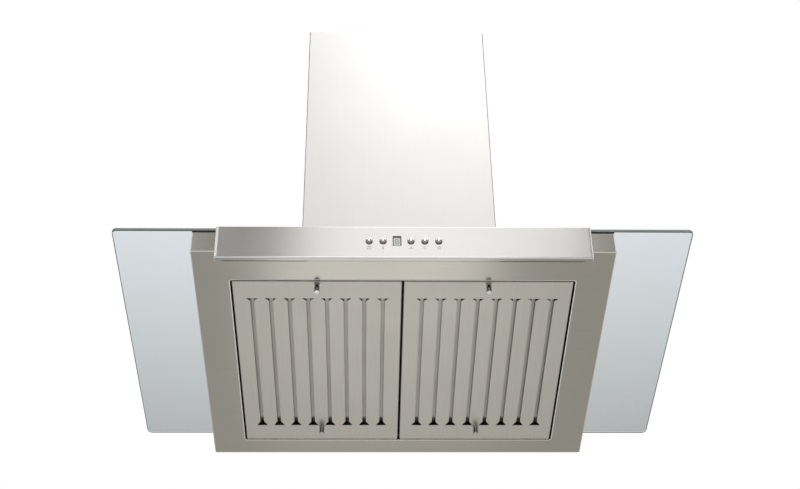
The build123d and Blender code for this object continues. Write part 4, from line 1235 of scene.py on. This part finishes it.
@dataclass
class Studio:
    """Pale floor, white surround and soft lights."""

    floor_level: float = -2.45
    floor_half: float = 14.0
    # Colours of the surround by height, before and behind the hood.
    front: Stops = (
        (0.0, (0.5, 0.49, 0.47)),
        (0.3, (0.23, 0.224, 0.213)),
        (0.7, (0.23, 0.224, 0.213)),
        (0.86, (0.85, 0.85, 0.85)),
        (1.0, (0.98, 0.99, 1.0)),
    )
    back: Stops = (
        (0.0, (0.40, 0.39, 0.37)),
        (0.53, (0.36, 0.37, 0.37)),
        (0.61, (0.63, 0.655, 0.675)),
        (0.68, (0.85, 0.87, 0.93)),
        (1.0, (0.98, 0.99, 1.0)),
    )
    # Part of a direction along y, from where the front ends to where the back is full.
    behind: Span = (-0.45, 0.3)
    lights: tuple[SoftBox, ...] = (
        SoftBox("front_box", (0.11, -4.0, 2.8), (0.11, -0.5, -0.1), (0.98, 1.4), 0.95),
        SoftBox("right_box", (0.79, -4.0, 2.8), (0.79, -0.5, -0.1), (0.36, 1.4), 0.88),
        SoftBox("left_box", (-1.08, -4.0, 2.8), (-1.08, -0.5, -0.1), (0.36, 1.2), 1.35),
        SoftBox("fill_box", (0.05, -4.4, 1.35), (0.05, -0.5, -0.1), (1.1, 1.8), 2.2),
        SoftBox("high_box", (0.38, -4.0, 5.55), (0.38, -0.3, 0.5), (1.32, 2.5), 2.4),
        SoftBox("left_side_box", (-1.6, -2.35, 2.1), (-0.05, -0.55, -0.16), (1.5, 1.4), 0.95),
        SoftBox("right_side_box", (1.7, -2.35, 2.1), (0.05, -0.55, -0.16), (1.5, 1.4), 1.3),
        SoftBox("under_box", (-0.01, 1.8, -2.3), (-0.01, -0.4, -0.2), (0.8, 1.0), 0.95, lights_matt=False),
        SoftBox("low_box", (0.05, -3.1, -2.0), (0.05, -0.5, -0.15), (0.85, 0.7), 1.1, lights_matt=False),
    )

    def build(self, wardrobe: Wardrobe) -> None:
        """Build floor, surround and lights.

        Args:
            wardrobe: Keeper of the finishes.
        """
        self.build_floor(wardrobe)
        self.build_surround()
        for light in self.lights:
            light.build()
        bpy.context.scene.view_settings.view_transform = "Standard"

    def build_floor(self, wardrobe: Wardrobe) -> None:
        """Lay the floor far below the hood.

        Args:
            wardrobe: Keeper of the finishes.
        """
        mesh = bmesh.new()
        side = 2 * self.floor_half
        outline = bar((0.0, 0.0), (side, side))
        mesh.faces.new([mesh.verts.new((x, y, self.floor_level)) for x, y in outline])
        data = bpy.data.meshes.new("floor")
        mesh.to_mesh(data)
        mesh.free()
        data.materials.append(wardrobe.material(FLOOR))
        floor = bpy.data.objects.new("floor", data)
        bpy.context.scene.collection.objects.link(floor)
        LOG.info("floor: %s", FLOOR.name)

    @staticmethod
    def gradient(tree: bpy.types.NodeTree, stops: Stops, height: Socket) -> Socket:
        """A run of colours from the horizon up.

        Args:
            tree: Node tree of the surround.
            stops: Heights from nought to one, with their colours.
            height: Height of the direction looked in.

        Returns:
            The colour at that height.
        """
        ramp = tree.nodes.new("ShaderNodeValToRGB")
        marks = ramp.color_ramp.elements
        marks[0].color = (*stops[0][1], 1.0)
        marks[1].color = (*stops[-1][1], 1.0)
        for place, colour in stops[1:-1]:
            marks.new(place).color = (*colour, 1.0)
        tree.links.new(height, ramp.inputs["Fac"])
        return ramp.outputs["Color"]

    def build_surround(self) -> None:
        """White surround, which lights the hood with a dim front and a gradient behind it."""
        world = bpy.data.worlds.new("studio")
        bpy.context.scene.world = world
        world.use_nodes = True
        tree = world.node_tree
        tree.nodes.clear()
        where = tree.nodes.new("ShaderNodeTexCoord")
        parts = tree.nodes.new("ShaderNodeSeparateXYZ")
        tree.links.new(where.outputs["Generated"], parts.inputs["Vector"])
        front, back = (self.gradient(tree, stops, parts.outputs["Z"]) for stops in (self.front, self.back))
        depth = tree.nodes.new("ShaderNodeMapRange")
        depth.interpolation_type = "SMOOTHSTEP"
        depth.inputs["From Min"].default_value = self.behind[0]
        depth.inputs["From Max"].default_value = self.behind[1]
        tree.links.new(parts.outputs["Y"], depth.inputs["Value"])
        blend = tree.nodes.new("ShaderNodeMix")
        blend.data_type = "RGBA"
        tree.links.new(depth.outputs["Result"], blend.inputs[MIX_FACTOR])
        tree.links.new(front, blend.inputs[MIX_FIRST])
        tree.links.new(back, blend.inputs[MIX_SECOND])
        glow = tree.nodes.new("ShaderNodeBackground")
        tree.links.new(blend.outputs[MIX_RESULT], glow.inputs["Color"])
        white = tree.nodes.new("ShaderNodeBackground")
        white.inputs["Color"].default_value = (1.0, 1.0, 1.0, 1.0)
        path = tree.nodes.new("ShaderNodeLightPath")
        mix = tree.nodes.new("ShaderNodeMixShader")
        tree.links.new(path.outputs["Is Camera Ray"], mix.inputs["Fac"])
        tree.links.new(glow.outputs["Background"], mix.inputs[1])
        tree.links.new(white.outputs["Background"], mix.inputs[2])
        output = tree.nodes.new("ShaderNodeOutputWorld")
        tree.links.new(mix.outputs["Shader"], output.inputs["Surface"])
        LOG.info("surround: %s", world.name)


def main() -> None:
    """Load the frame, dress it, and build the detail, the studio and the camera."""
    logging.basicConfig(level=logging.INFO, format="%(message)s")
    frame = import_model()
    wardrobe = Wardrobe(frame["nodes"])
    Camera().build()
    Studio().build(wardrobe)
    for part in (Canopy(), Fascia(), Controls(), Filters(), Blower(), Chimney()):
        part.dress(wardrobe)
        part.build(wardrobe)


if __name__ == "__main__":
    main()
